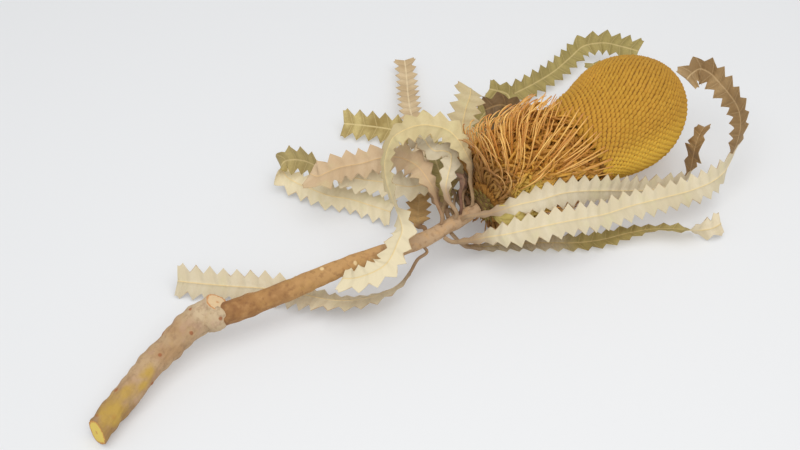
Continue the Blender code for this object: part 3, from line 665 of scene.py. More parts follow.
core_finish.feed("Base Color", core_finish.blend(core_finish.noise(3.0), paint(124, 82, 22), paint(150, 104, 32)))
points, faces, marks = closed_buds()
make_piece("closed_bud_clubs", points, faces, bud_finish, ["closed_buds"], marks)
points, faces = bud_core()
make_piece("bud_core", points, faces, core_finish, ["closed_buds"])


# %% [markdown]
# ## The leaves
#
# A banksia leaf is a long tough strip with a saw edge. One side is covered in pale felt and carries a raised
# yellow midrib, and the other is bare, olive and faintly quilted. Drying has curled most of these leaves,
# so each one follows its own route, and a turn in degrees says how far its felted side faces away from the
# camera. Along the route the half width rises in a straight line to each tooth's point and falls back to
# the next notch. The blade is one closed ring in section, felt above and bare side below.

# %% Leaf routes
# A leaf's name, its millimetres before the cone, its degrees round the shoot, its width, and the route of
# its midrib: x, y, z and turn.
LEAVES = [
    ("leaf_front_long", 27, 195, 18.4, [
        (-124, -1.6, 17, 10), (-113.4, -8.2, 18.4, 5), (-108.6, -15.2, 22.6, 0), (-99, -23, 26.4, 0),
        (-83.2, -31, 27.4, 0), (-69.4, -36.4, 26, 0), (-57.4, -39.4, 23, 0), (-39.8, -43.4, 21, 0),
        (-19.4, -50, 19.4, 0), (-0.6, -56.2, 18.4, 0), (13.6, -58.4, 17.6, 15), (25.4, -57.8, 18, 45),
        (33.6, -55.4, 20, 75), (41, -52.4, 22, 90), (46.8, -49.6, 26, 100), (54, -44.4, 30, 108),
        (59, -37.2, 34, 118), (61.6, -28, 37, 128), (63.2, -19.2, 39, 136), (65, -10.6, 40, 142),
        (63.6, -4.8, 40.4, 150), (56.6, -3.8, 40, 165), (49.8, -4.6, 38, 180)]),
    ("leaf_front_upper", 14, 130, 18.0, [
        (-110, -5, 32, 0), (-96.6, -11.4, 34.4, 0), (-83.4, -17, 34.4, 3), (-70, -19.8, 32.4, 7),
        (-58, -23.2, 29, 10), (-44.2, -27.2, 23.6, 16), (-26.4, -31.4, 15.4, 22), (-14.2, -34.6, 10.4, 25),
        (-5.6, -40, 10.6, 28), (3.4, -43, 9.6, 45), (10.8, -44.2, 10, 72), (16.6, -42.2, 13.4, 95),
        (19.4, -40, 19, 104), (19.6, -39.4, 27, 106), (24.4, -37.2, 32, 106), (30.2, -36.2, 36, 100)]),
    ("leaf_front_low", 21, 245, 14.4, [
        (-122, 1, 10, 140), (-112, -4, 5.5, 137), (-97, -11, 3, 137), (-84, -20, 2.5, 137),
        (-67, -34, 2.5, 137), (-57, -40.5, 3, 135), (-42, -48, 4.5, 125), (-29, -56.5, 6, 105),
        (-16, -69.5, 7, 90), (-12, -73.5, 7.5, 45), (-6.5, -77, 8, 15), (1.5, -78, 8, 15)]),
    ("leaf_loop", 4, 78, 17.0, [
        (-106, 15, 37, 50), (-102, 20, 44, 40), (-102, 25, 50, 30), (-102, 31, 55, 10),
        (-103.5, 37.5, 58, 0), (-108.5, 43, 60, 0), (-112, 47, 60, 0), (-117, 50.5, 59, 10),
        (-121.5, 53, 57, 25), (-126, 55, 54, 45), (-132.5, 52.5, 50, 60), (-139, 47, 47, 62),
        (-144, 39.5, 44, 62), (-148, 30.5, 42, 72), (-151, 23, 40, 88), (-152.5, 18.5, 38, 55),
        (-156, 12.5, 35.5, 35), (-161.5, 9.5, 33, 30), (-168, 6.5, 30, 25), (-177.5, 3, 31, 25),
        (-185.5, 5.5, 29, 30), (-191.5, 10.5, 26, 40), (-195, 16, 24, 50)]),
    ("leaf_stem_side", 38, 245, 19.0, [
        (-150.5, 6.5, 14.5, 70), (-157, 4.5, 11.5, 76), (-167, 2, 10, 78), (-180, 4.5, 9, 76),
        (-189.5, 9.5, 8, 70), (-200.5, 19.5, 7.5, 62), (-206.5, 28.5, 7, 45), (-212.5, 37, 7.5, 15),
        (-221.5, 47, 8, 0), (-229.5, 55, 8, 0), (-236, 61.5, 8, 0), (-245.5, 71.5, 8, 0),
        (-255, 82, 8, 0)]),
    ("leaf_pink", 25, 80, 18.2, [
        (-127, 18, 32, 50), (-124, 24, 34, 40), (-121.5, 34, 37, 20), (-120.5, 40.5, 38, 10),
        (-121, 48, 38, 0), (-123, 53.5, 38, 0), (-130.5, 62, 36, 0), (-139.5, 67, 34, 0),
        (-150, 74, 32, 0), (-156, 77, 30, 5), (-161, 79.5, 28, 10), (-163, 86, 27, 20)]),
    ("leaf_curled", 13, 15, 17.6, [
        (-109.5, 24, 25, 60), (-112, 34, 25, 30), (-116, 39, 24, 10), (-123, 45, 22, 0), (-131, 56, 22, 0),
        (-141.5, 69, 22, 0), (-148, 81, 22, 60), (-152, 92, 21, 130), (-154.5, 101.5, 20, 150),
        (-158, 108.5, 18, 170), (-161.5, 113, 15, 200), (-164, 113, 11.5, 270), (-164, 109, 8.5, 330),
        (-162.5, 102.5, 7.5, 350), (-158.5, 91.5, 7.5, 355), (-154.5, 81.5, 7.5, 360),
        (-146.5, 70.5, 7.5, 360), (-139.5, 57, 7.5, 360), (-135, 45.5, 8.5, 360)]),
    ("leaf_back_left", 14, 350, 19.0, [
        (-113, 26, 12.5, 150), (-96, 45.5, 8, 165), (-85, 66, 8, 170), (-81, 82, 8, 180),
        (-89.5, 100.5, 7.5, 180), (-99, 113, 7.5, 180), (-110, 125.5, 7.5, 180)]),
    ("leaf_upright", 18, 10, 14.6, [
        (-117, 30, 19, 170), (-105, 52, 24, 180), (-92, 74, 21, 180), (-76, 100, 16, 180),
        (-63.5, 117, 11.5, 180), (-52.5, 131, 8, 180), (-42.5, 144.5, 7.5, 180), (-39, 149.5, 7.5, 180)]),
    ("leaf_folded", 33, 350, 15.4, [
        (-135, 23, 16, 180), (-129, 31, 12, 180), (-121, 40, 9.5, 180), (-113, 48, 9, 160)]),
    ("leaf_centre", 17, 100, 12.0, [
        (-123, 14, 36, 30), (-122, 17, 38, 20), (-114, 24.5, 41, 10), (-108, 29, 43, 10),
        (-105, 33, 45, 0), (-107, 36, 46, 0), (-111, 38.5, 46.5, 0), (-111, 44, 46.5, 0),
        (-108, 51, 44.5, 0), (-109, 58, 42, 0), (-113, 61, 40, 0)]),
    ("leaf_behind", 9, 40, 19.4, [
        (-107, 19, 32, 0), (-98, 29, 30.5, 0), (-88, 39, 32, 0), (-78, 52, 37, 0), (-70, 58.5, 40, 0),
        (-61, 64.5, 42, 0), (-55, 70.5, 41.5, 30)]),
    ("leaf_top_long", 4, 330, 16.8, [
        (-104, 21, 15, 180), (-94, 28, 12.5, 180), (-68, 50, 9.5, 180), (-44, 72, 8, 180),
        (-23, 78, 8, 180), (-9, 77, 8, 180), (8, 76, 8, 180), (26.5, 76.5, 8, 180), (44.5, 79, 9, 180),
        (59, 80, 11, 180), (66.5, 72.5, 14, 180), (69, 58.5, 18, 180), (72, 45, 20, 180)]),
    ("leaf_top_short", 9, 305, 12.4, [
        (-106, 19, 8, 160), (-95, 27, 5, 145), (-72, 40, 3.5, 137), (-30, 53, 3, 137), (5, 51, 3.5, 137),
        (30, 48, 6, 150), (45, 57, 10, 180), (50, 65, 11, 180)]),
    ("leaf_dark", 4, 20, 15.4, [
        (-107, 20, 25, 180), (-98, 27, 24, 180), (-84, 34, 22.5, 180), (-66, 42, 22.5, 180),
        (-47, 48, 24, 180), (-37, 52, 26.5, 180), (-41, 56, 29.5, 180), (-54, 60, 30, 180)]),
    ("leaf_olive", 8, 355, 13.0, [
        (-107, 22, 19, 180), (-94, 30, 18.5, 180), (-72, 44, 17, 180), (-48, 56, 16, 180),
        (-29, 62, 17, 180), (-23, 69, 19, 180), (-30, 81, 21, 180)]),
    ("leaf_hub", 22, 45, 11.0, [
        (-118, 20, 29, 150), (-112, 31, 31, 170), (-106, 42, 31, 180), (-100, 52, 29, 180)]),
    ("leaf_small", 13, 88, 7.0, [
        (-114, 14, 35, 60), (-108, 18, 37, 40), (-105, 24, 37.5, 30)]),
]
SHOOT_PATH = smooth_path(SHOOT, 300)
SHOOT_LENGTHS = measure(SHOOT_PATH)
SHOOT_TANGENTS = tangents(SHOOT_PATH)
TOOTH_PITCH = 7.6
NOTCH_SHARE = 0.56
TOOTH_LEAN = 0.62
END_SHARE = 0.86
END_NOTCH = 1.6
STALK_WIDTH = 2.4
STALK_LENGTH = 9.0
GROWING_LENGTH = 42.0
GROWING_SHARE = 0.35
FOLD = -0.12
HALF_COLUMNS = 10


def leaf_root(before, round_shoot):
    """Two points that lead a stalk straight out of the shoot, a little before the cone."""
    k = int(np.argmin(abs(SHOOT_LENGTHS - (SHOOT_LENGTHS[-1] - before))))
    left = unit(np.cross(UP, SHOOT_TANGENTS[k]))
    top = np.cross(SHOOT_TANGENTS[k], left)
    angle = math.radians(round_shoot)
    out = unit(math.cos(angle) * left + math.sin(angle) * top + 0.35 * SHOOT_TANGENTS[k])
    surface = SHOOT_PATH[k, 3] + 0.55
    return SHOOT_PATH[k, :3] + surface * out, SHOOT_PATH[k, :3] + (surface + 3.0) * out


def leaf_shape(before, round_shoot, width, route, seed):
    """One leaf's points, faces and marks, and its midrib with the half width either side of it.

    A row of points crosses the leaf at each station. Its half width is the notch's half width, plus the
    tooth's height times a ramp that rises over 62 hundredths of a tooth and falls over the rest.
    """
    draw = np.random.default_rng(seed)
    first, second = leaf_root(before, round_shoot)
    path = smooth_path([(*first, route[0][3]), (*second, route[0][3])] + route, 600)
    total = measure(path)[-1]
    teeth = max(3, round((total - STALK_LENGTH) / TOOTH_PITCH))
    pitch = (total - STALK_LENGTH) / teeth
    inside = np.array([0.0, 0.16, 0.32, 0.46, 0.56, 0.62, 0.68, 0.78, 0.9])
    toothed = (np.arange(teeth)[:, None] + inside).ravel()
    count = np.concatenate([np.linspace(-STALK_LENGTH / pitch, 0, 9)[:-1], toothed, [teeth]])
    lengths = STALK_LENGTH + count * pitch

    place = at_lengths(path, lengths)
    heading = unit(at_lengths(np.column_stack([path[:, :3], tangents(path)]), lengths)[:, 3:6])
    face = unit(LOOK - (heading @ LOOK)[:, None] * heading)
    turn = np.radians(place[:, 3])[:, None]
    normal = np.cos(turn) * face + np.sin(turn) * np.cross(heading, face)
    across = np.cross(heading, normal)

    half = width / 2
    growing = min(GROWING_LENGTH, GROWING_SHARE * total)
    grown = np.clip((lengths - STALK_LENGTH) / growing, 0.0, 1.0)
    grown = grown * grown * (3 - 2 * grown)
    tooth = np.clip(np.floor(count), 0, teeth - 1).astype(int)
    part = np.clip(count - tooth, 0.0, 1.0)
    notch = STALK_WIDTH / 2 + (NOTCH_SHARE * half - STALK_WIDTH / 2) * grown
    closing = np.clip((count - (teeth - 0.38)) / 0.38, 0.0, 1.0)
    notch = notch + (END_SHARE - NOTCH_SHARE) * half * closing * grown
    rise = np.where(part < TOOTH_LEAN, (part / TOOTH_LEAN) ** 1.08, np.clip((1 - part) / (1 - TOOTH_LEAN), 0, 1) ** 1.1)
    rise = rise * (count >= 0)
    height = 0.5 + ((1 - NOTCH_SHARE) * half - 0.5) * grown
    height = np.minimum(height, half - notch)

    # Across the leaf: four columns for the midrib, and the rest in even steps to the edge.
    columns = []
    flutter = draw.uniform(-1, 1, (2, teeth))
    big = draw.uniform(0, 2 * math.pi, 4)
    for side in (-1, 1):
        taller = 1 + draw.uniform(-0.09, 0.09, teeth)
        edge = notch + height * rise * taller[tooth]
        rib = np.minimum(1.0, edge / 2.2)[:, None] * np.array([0.0, 0.4, 0.75, 1.15])
        steps = np.arange(1, HALF_COLUMNS - 2) / (HALF_COLUMNS - 3)
        out = np.concatenate([rib, rib[:, -1:] + (edge[:, None] - rib[:, -1:]) * steps], axis=1)
        share = out / half
        wave = (0.5 * np.sin(lengths / 5.3 + big[side]) + 0.5 * np.sin(lengths / 9.1 + big[side + 2]))[:, None]
        bend = FOLD * half * (0.5 * share + 0.5 * share**2) + 0.45 * wave * share**2 * grown[:, None]
        bend = bend + 0.5 * (flutter[max(side, 0)][tooth] * rise * grown)[:, None] * np.clip(share - 0.5, 0, 1) ** 1.5 * 2
        columns.append((side * out, bend, edge[:, None] - out))
    offset, bend, edge = (np.concatenate([left[:, :0:-1], right], axis=1) for left, right in zip(*columns))

    swell = (0.6 * (1 - grown))[:, None] * np.sqrt(np.clip(1 - (offset / (notch[:, None] + 0.01)) ** 2, 0, 1))
    thin = 0.11 + 0.1 * np.clip(edge / 1.5, 0, 1)
    ridge = np.exp(-((offset / 0.62) ** 2)) * grown[:, None]
    felt_height = bend + thin + swell + 0.42 * ridge
    bare_height = bend - thin - swell + 0.1 * ridge
    back = END_NOTCH * (1 - abs(offset) / half) * np.clip(count - (teeth - 1), 0, 1)[:, None] ** 2
    along = place[:, None, :3] - back[..., None] * heading[:, None] + offset[..., None] * across[:, None]
    felt = along + felt_height[..., None] * normal[:, None]
    bare = along + bare_height[..., None] * normal[:, None]
    rows, wide = len(lengths), offset.shape[1]
    points = np.concatenate([felt, bare[:, ::-1]], axis=1)
    points[..., 2] = np.maximum(points[..., 2], 0.05)
    column = np.arange(wide - 1)
    strip = np.stack([column, column + 1, 2 * wide - 2 - column, 2 * wide - 1 - column], axis=-1)
    faces = [ring_faces(rows, 2 * wide), strip[:, ::-1] + 0, strip + (rows - 1) * 2 * wide]

    def both(values):
        return np.concatenate([values, values[:, ::-1]], axis=1)
    marks = {
        "face": np.concatenate([np.ones_like(offset), np.zeros_like(offset)], axis=1),
        "across": both(offset / half),
        "rib": both(np.exp(-((offset / 0.55) ** 2))),
        "stalk": both(1 - grown[:, None] + 0 * offset),
        "edge": both(edge),
        "count": both(count[:, None] + 0 * offset),
        "length": both((lengths / total)[:, None] + 0 * offset),
        "tint": both(draw.uniform(0, 1) + 0 * offset),
    }
    return points, faces, marks, (lengths, place[:, :3], across * (notch + height)[:, None])


def spots_on_blade(lengths, middles, halves):
    """Points over a blade about a millimetre apart, from its midrib and its half widths at some lengths."""
    fine = np.arange(0.0, lengths[-1], 1.0)
    middle = np.column_stack([np.interp(fine, lengths, column) for column in middles.T])
    half = np.column_stack([np.interp(fine, lengths, column) for column in halves.T])
    spread = np.linspace(-1.0, 1.0, 13)[None, :, None]
    return (middle[:, None] + spread * half[:, None]).reshape(-1, 3)


# %% Leaf finish
def leaf_finish(name, felt, felt_shade, rib, bare, bare_shade, bare_rib, burnt, stalk=(148, 113, 82),
                far_felt=None, near_bare=None):
    """Felt on one side of the leaf and a bare skin on the other, both puffed between the veins to the teeth."""
    finish = Finish(name)
    face = finish.step(finish.mark("face"), 0.35, 0.65)
    across = finish.math("ABSOLUTE", finish.mark("across"))
    # Each vein leaves the midrib nearly half a tooth early and ends in the tooth's point.
    lead = finish.mark("count") - 0.62 + 0.45 * (1 - across) + finish.noise(9.0, 1.0) * 0.16
    away = finish.math("PINGPONG", lead, 0.5)
    vein = finish.step(away, 0.06, 0.0)
    puff = finish.step(away, 0.0, 0.38)
    net = finish.step(finish.noise(1.1, 2.0, 0.6), 0.4, 0.62)
    clouds = finish.step(finish.noise(16.0, 3.0), 0.35, 0.68)
    greenish = finish.step(finish.noise(11.0, 2.0), 0.5, 0.66)
    ribs = finish.mark("rib")

    pale = finish.blend(clouds * 0.6 + finish.mark("tint") * 0.3, paint(*felt), paint(*felt_shade))
    pale = finish.blend(greenish * 0.28, pale, paint(214, 206, 150))
    # Painted shade in the creases between the puffs, together with a fine mottle that is the felt's own.
    pale = finish.blend((1 - puff) * 0.35 + (1 - net) * 0.25, pale, paint(*felt_shade))
    if far_felt:
        pale = finish.blend(finish.step(finish.mark("length"), 0.5, 0.75), pale, paint(*far_felt))
    pale = finish.blend(finish.step(ribs, 0.45, 0.85) * 0.8, pale, paint(*rib))
    skin = finish.blend(clouds, paint(*bare), paint(*bare_shade))
    skin = finish.blend((1 - net) * 0.25, skin, paint(*bare_shade))
    # Painted shade: the bare skin is painted darker in the creases between the puffs.
    skin = finish.blend((1 - puff) * 0.65, skin, paint(*bare_shade))
    # Painted light: where a near bare colour is given, the skin on the leaf's first part is painted paler, because that
    # part lies in shade.
    if near_bare:
        skin = finish.blend(finish.step(finish.mark("length"), 0.5, 0.38), skin, paint(*near_bare))
    skin = finish.blend(vein * 0.45 * (1 - ribs), skin, paint(*bare_rib))
    skin = finish.blend(finish.step(ribs, 0.35, 0.75) * 0.8, skin, paint(*bare_rib))
    colour = finish.blend(face, skin, pale)
    colour = finish.blend(finish.step(finish.mark("stalk"), 0.35, 0.95) * 0.8, colour, paint(*stalk))
    rim = finish.step(finish.mark("edge"), 0.9, 0.05) * finish.step(finish.noise(7.0, 3.0), 0.5, 0.64)
    finish.feed("Base Color", finish.blend(rim * 0.6, colour, paint(*burnt)))
    finish.feed("Roughness", 0.62 + face * 0.28)
    coarse = finish.bump(puff, 0.5)
    fine = finish.bump(finish.noise(0.45, 3.0, 0.65) + (1 - face) * (vein + net * 0.5), 0.14, coarse)
    finish.feed("Normal", fine)
    return finish


felted_finish = leaf_finish("felted leaf", (228, 216, 188), (214, 199, 166), (238, 212, 156), (176, 150, 100),
                            (150, 120, 76), (206, 178, 126), (176, 134, 84))
front_finish = leaf_finish("front leaf", (230, 217, 188), (215, 200, 166), (240, 216, 160), (190, 160, 114),
                           (160, 130, 88), (212, 184, 138), (176, 134, 84))
loop_finish = leaf_finish("looped leaf", (220, 202, 156), (202, 183, 134), (232, 206, 146), (190, 166, 114),
                          (164, 138, 90), (214, 188, 134), (170, 128, 76), far_felt=(229, 215, 180))
shade_finish = leaf_finish("shaded leaf", (208, 191, 150), (190, 171, 128), (226, 200, 140), (176, 150, 100),
                           (150, 120, 76), (206, 178, 126), (160, 120, 76))
# Painted light: the curled leaf lies partly in the shade of the leaves over it, so its felt is painted paler than the
# others'. Its olive bare side is its own colour.
lit_felt_finish = leaf_finish("lit felt leaf", (246, 234, 202), (232, 216, 176), (244, 218, 160), (192, 172, 112),
                           (162, 142, 86), (214, 192, 136), (176, 134, 84))
# Painted light: the low leaf's first part lies in shade under the front leaves, and its near bare colour paints it
# paler.
low_finish = leaf_finish("low leaf", (238, 224, 196), (220, 202, 164), (226, 200, 140), (184, 166, 102),
                         (156, 139, 80), (214, 192, 132), (130, 98, 58), near_bare=(214, 200, 168))
olive_finish = leaf_finish("olive leaf", (238, 224, 196), (220, 202, 164), (226, 200, 140), (180, 163, 98),
                           (152, 136, 76), (210, 190, 130), (130, 98, 58))
yellow_finish = leaf_finish("yellow olive leaf", (230, 212, 160), (212, 192, 136), (226, 200, 140),
                            (216, 197, 132), (164, 140, 78), (230, 210, 150), (140, 104, 60))
blush_finish = leaf_finish("blushing leaf", (226, 204, 166), (210, 184, 144), (226, 196, 150), (222, 198, 158),
                           (196, 168, 126), (232, 210, 168), (150, 110, 76))
pink_finish = leaf_finish("pink leaf", (218, 192, 156), (202, 172, 134), (224, 190, 140), (186, 152, 114),
                          (160, 126, 88), (212, 178, 132), (150, 112, 78))
# Painted light: the folded leaf lies in shade, so its colours are painted paler than the dark leaf's.
folded_finish = leaf_finish("folded leaf", (190, 158, 112), (160, 128, 84), (190, 158, 108), (214, 174, 112),
                            (186, 148, 92), (206, 172, 116), (110, 82, 50), (120, 84, 56))
dark_finish = leaf_finish("dark leaf", (170, 140, 96), (140, 110, 70), (184, 150, 100), (136, 108, 68),
                          (110, 84, 50), (166, 134, 86), (80, 58, 34), (120, 84, 56))
purple_finish = leaf_finish("purple leaf", (150, 116, 94), (122, 90, 74), (164, 126, 94), (110, 80, 64),
                            (88, 62, 50), (140, 106, 78), (80, 54, 42), (116, 80, 60))
OTHER_FINISH = {"leaf_front_long": (front_finish, "felted_leaf"), "leaf_front_upper": (front_finish, "felted_leaf"),
                "leaf_loop": (loop_finish, "felted_leaf"), "leaf_behind": (shade_finish, "felted_leaf"),
                "leaf_curled": (lit_felt_finish, "felted_leaf"), "leaf_front_low": (low_finish, "olive_leaf"),
                "leaf_pink": (pink_finish, "pink_leaf"), "leaf_dark": (dark_finish, "dark_leaf"),
                "leaf_folded": (folded_finish, "dark_leaf"), "leaf_small": (purple_finish, "purple_leaf"),
                "leaf_back_left": (yellow_finish, "olive_leaf"), "leaf_upright": (blush_finish, "olive_leaf")}
OLIVE_LEAVES = ("leaf_top_long", "leaf_top_short",
                "leaf_olive", "leaf_hub")

# %% Leaves
blade_spots = []
for seed, (name, before, round_shoot, width, route) in enumerate(LEAVES):
    points, faces, marks, blade = leaf_shape(before, round_shoot, width, route, 40 + seed)
    finish, slot = OTHER_FINISH.get(name, (olive_finish, "olive_leaf") if name in OLIVE_LEAVES
                                    else (felted_finish, "felted_leaf"))
    make_piece(name + "_blade", points, faces, finish, [name], marks, sharp=45)
    blade_spots.append(spots_on_blade(*blade))

# %% [markdown]
# ## The open florets
#
# Flowering starts at the stem end, so there the buds have opened. Each left a wiry golden style some 30
# millimetres long, which leaves the core straight out and bends forward to the tip, and a curled dry floral
# tube. Over 400 styles have lasted, and they are swept here as thin five-sided wires on bent paths, above
# many more tubes. A wire that would run into a leaf, or lie over one of the front leaves, is
# shortened, and left out if even the shortest does.

# %% Open florets
def wires(paths, radii, columns, flat=1.0, face=(0.3, 0.2, 1.0)):
    """Closed wires along many paths at once, with one ring of points at each path point and a pole at each end."""
    count, rows = paths.shape[:2]
    forward = unit(np.gradient(paths, axis=1))
    side = unit(np.cross(forward, np.asarray(face)))
    other = np.cross(forward, side)
    angle = np.arange(columns) * 2 * math.pi / columns
    ring = (np.cos(angle)[:, None] * side[:, :, None] + flat * np.sin(angle)[:, None] * other[:, :, None])
    rings = paths[:, :, None] + radii[..., None, None] * ring
    ends = np.stack([paths[:, 0] - 0.2 * forward[:, 0], paths[:, -1] + 0.3 * forward[:, -1]], axis=1)
    each = rows * columns + 2
    points = np.concatenate([rings.reshape(count, -1, 3), ends], axis=1)
    faces = [ring_faces(rows, columns, count, each), fan_faces(0, columns, rows * columns, count, each),
             fan_faces((rows - 1) * columns, columns, rows * columns + 1, count, each)[:, ::-1]]
    return points, faces, each


def bezier(root, bend, tip, rows):
    """Curves that leave their roots towards the bends and end at the tips."""
    t = np.linspace(0, 1, rows)[None, :, None]
    return (1 - t) ** 2 * root[:, None] + 2 * t * (1 - t) * bend[:, None] + t**2 * tip[:, None]


def tree_of(cloud):
    tree = KDTree(len(cloud))
    for k, spot in enumerate(cloud):
        tree.insert(spot, k)
    tree.balance()
    return tree


def as_seen(points):
    """Points as the camera sees them: pixels across and up from the middle, and how deep they lie."""
    away = points - EYE
    depth = away @ np.cross(UPWARD, RIGHT)
    return 1000 * (away @ RIGHT) / depth, 1000 * (away @ UPWARD) / depth, depth


blade_tree = tree_of(np.vstack(blade_spots))
# The three front leaves press on the styles, so from the camera's side no style lies over them.
seen = as_seen(np.vstack(blade_spots[:3]))
front_tree = tree_of(np.column_stack([seen[0], seen[1], 0 * seen[0]]))


def keep_clear(candidates, gap):
    """For each curve, the first of its candidates that keeps off every leaf, and whether there is one."""
    count = len(candidates[0])
    chosen = candidates[0].copy()
    found = np.zeros(count, bool)
    for paths in candidates:
        across, up, depth = as_seen(paths)
        for k in np.flatnonzero(~found):
            clear = all(blade_tree.find(point)[2] > gap for point in paths[k][1:])
            for u, v, deep in zip(across[k], up[k], depth[k]):
                _, leaf, far = front_tree.find((u, v, 0.0))
                clear = clear and (far > 1.4 or deep > seen[2][leaf])
            if clear:
                chosen[k] = paths[k]
                found[k] = True
    return chosen[found], found


START, END = BRACTS_LENGTH + 0.3, OPEN_END - 0.3
STYLE_COUNT = 480


def styles():
    """The styles' paths, radii and marks: those near the stem lean back, and the others sweep to the tip."""
    draw = np.random.default_rng(21)
    k = np.arange(STYLE_COUNT)
    share = (k + 0.5) / STYLE_COUNT
    angle = k * GOLDEN_ANGLE + draw.uniform(-0.1, 0.1, STYLE_COUNT)
    last = open_end(angle) - 4.0
    along = START + 2.0 + (last - 15.0 - START) * share
    free = np.clip(np.cos(angle - math.radians(45)), 0, 1)
    # The ones that face upwards are swept across to the far side, and the low ones droop towards the table.
    round_it = (angle - math.radians(55)) % (2 * math.pi)
    sweep = np.where(round_it < math.pi, -0.62 * np.sin(2 * round_it), 0.0) * (1 - 0.4 * share)
    out = 21.5 - 8.0 * share + 9.5 * free * (1 - 0.4 * share) + draw.uniform(-3.5, 1.5, STYLE_COUNT)
    low = np.clip(np.cos(angle - math.radians(180)), 0, 1) ** 2 * np.clip(4 * share, 0, 1)
    out = out - 7.0 * low
    forward = -5.0 + 33.0 * share**0.75 + 11.0 * low + draw.normal(0, 2.2, STYLE_COUNT)
    twist = draw.normal(0, 0.07, STYLE_COUNT)
    reach = profile(CORE_RADII, along)
    root = on_cone(along, reach - 1.5, angle)
    candidates = []
    for size in (1.0, 0.85, 0.7, 0.55, 0.4, 0.25):
        bend = on_cone(along + 0.12 * forward, reach + 1.02 * size * out, angle + 0.6 * twist + 0.25 * sweep)
        far = np.minimum(along + forward, last + 9.0)
        tip = on_cone(far, np.maximum(reach + size * out * 0.96, profile(SKIN_RADII, far) + 0.8), angle + 2 * twist + sweep)
        paths = bezier(root, bend, tip, 12)
        paths[..., 2] = np.maximum(paths[..., 2], 0.5)
        candidates.append(paths)
    paths, found = keep_clear(candidates, 1.1)
    uncovered = (along[found] < 22) & (np.cos(angle[found] - math.radians(183)) > 0.8)
    paths, found = paths[~uncovered], np.flatnonzero(found)[~uncovered]
    taper = np.array([0.42, 0.42, 0.41, 0.4, 0.39, 0.37, 0.35, 0.34, 0.33, 0.33, 0.37, 0.22])
    points, faces, each = wires(paths, taper[None] * draw.uniform(0.85, 1.2, len(paths))[:, None], 5)
    length = np.concatenate([np.repeat(np.linspace(0, 1, 12), 5), [0, 1]])
    marks = {"length": np.tile(length, len(paths)), "tint": np.repeat(draw.uniform(0, 1, len(paths)), each),
             "along": np.repeat(along[found], each)}
    return points, faces, marks


def tubes():
    """The dry floral tubes: flat strips that curl every way among the styles' roots and fill the gaps there."""
    draw = np.random.default_rng(22)
    count = 2200
    k = np.arange(count)
    angle = (k + 0.37) * GOLDEN_ANGLE
    share = (k + 0.5) / count
    along = START + 1.0 + (open_end(angle) - 1.5 - START) * share
    reach = profile(CORE_RADII, along)
    lean = draw.normal(4.5, 3.4, count)
    high = 18.5 + 4.5 * share + 11.0 * np.clip(np.cos(angle - math.radians(38)), 0, 1) ** 2
    rise = (high - reach) * draw.uniform(0.3, 1.1, count) + 1.5
    twist = draw.normal(0, 0.22, count)
    root = on_cone(along, reach - 1.5, angle)
    candidates = []
    for size in (1.0, 0.7, 0.45, 0.25):
        bend = on_cone(along - 0.6 * lean, reach + size * rise * 1.25, angle - 0.4 * twist)
        tip = on_cone(along + lean, reach + size * rise * 0.85, angle + twist)
        paths = bezier(root, bend, tip, 7)
        paths[..., 2] = np.maximum(paths[..., 2], 0.6)
        candidates.append(paths)
    paths, found = keep_clear(candidates, 1.0)
    uncovered = (along[found] < 20) & (np.cos(angle[found] - math.radians(183)) > 0.8)
    paths, found = paths[~uncovered], np.flatnonzero(found)[~uncovered]
    taper = np.array([0.55, 0.85, 1.0, 0.95, 0.85, 0.9, 0.45])
    points, faces, each = wires(paths, taper[None] * draw.uniform(0.7, 1.2, len(paths))[:, None], 5, flat=0.4,
                               face=LOOK)
    length = np.concatenate([np.repeat(np.linspace(0, 1, 7), 5), [0, 1]])
    olive = np.exp(-(((along - 22) / 13) ** 2)) * np.clip(np.cos(angle - math.radians(185)), 0, 1)
    marks = {"length": np.tile(length, len(paths)), "tint": np.repeat(draw.uniform(0, 1, len(paths)), each),
             "along": np.repeat(along[found], each), "olive": np.repeat(olive[found], each)}
    return points, faces, marks


def scales():
    """Broad smooth scales that cup the near side of the cone's foot."""
    draw = np.random.default_rng(23)
    angle = np.radians(np.array([152.0, 164.0, 176.0, 188.0, 200.0, 170.0, 182.0, 194.0, 158.0]))
    count = len(angle)
    length = np.array([9.0, 14.0, 18.0, 21.0, 19.0, 10.0, 13.0, 14.0, 7.0])
    root = on_cone(np.full(count, START + 0.5), np.full(count, 8.5), angle)
    bend = on_cone(START + 0.25 * length, np.full(count, 20.5), angle)
    tip = on_cone(START + length, 21.5 + draw.uniform(-0.5, 1.5, count), angle + draw.uniform(-0.08, 0.08, count))
    paths, _ = keep_clear([bezier(root, root + size * (bend - root), root + size * (tip - root), 12)
                           for size in (1.0, 0.8, 0.6)], 0.8)
    taper = np.array([2.2, 2.9, 3.5, 3.9, 4.0, 3.9, 3.6, 3.1, 2.5, 1.8, 1.1, 0.4])
    near = on_cone(np.array([START]), np.zeros(1), np.zeros(1))[0]
    points, faces, each = wires(paths, np.tile(taper, (len(paths), 1)), 12, flat=0.22, face=paths[0, 4] - near)
    marks = {"length": np.tile(np.concatenate([np.repeat(np.linspace(0, 1, 12), 12), [0, 1]]), len(paths)),
             "tint": np.repeat(draw.uniform(0, 1, len(paths)), each)}
    return points, faces, marks


def floret_core():
    """The closed core of the open end, roughened by the stumps of the opened buds."""
    columns, rows = 160, 130
    lengths = np.linspace(START, END, rows)[:, None]
    angle = np.arange(columns)[None] * 2 * math.pi / columns
    bumps = ripple(lengths, angle, 40, 9, longest=9.0, most_turns=40)
    reach = profile(CORE_RADII, lengths) - 0.6 + 0.9 * bumps
    rings = on_cone(lengths, reach, angle)
    points = np.vstack([rings.reshape(-1, 3), on_cone(lengths[0], np.zeros(1), np.zeros(1)),
                        on_cone(lengths[-1], np.zeros(1), np.zeros(1))])
    points[:, 2] = np.maximum(points[:, 2], 0.6)
    faces = [ring_faces(rows, columns), fan_faces(0, columns, rows * columns),
             fan_faces((rows - 1) * columns, columns, rows * columns + 1)[:, ::-1]]
    return points, faces


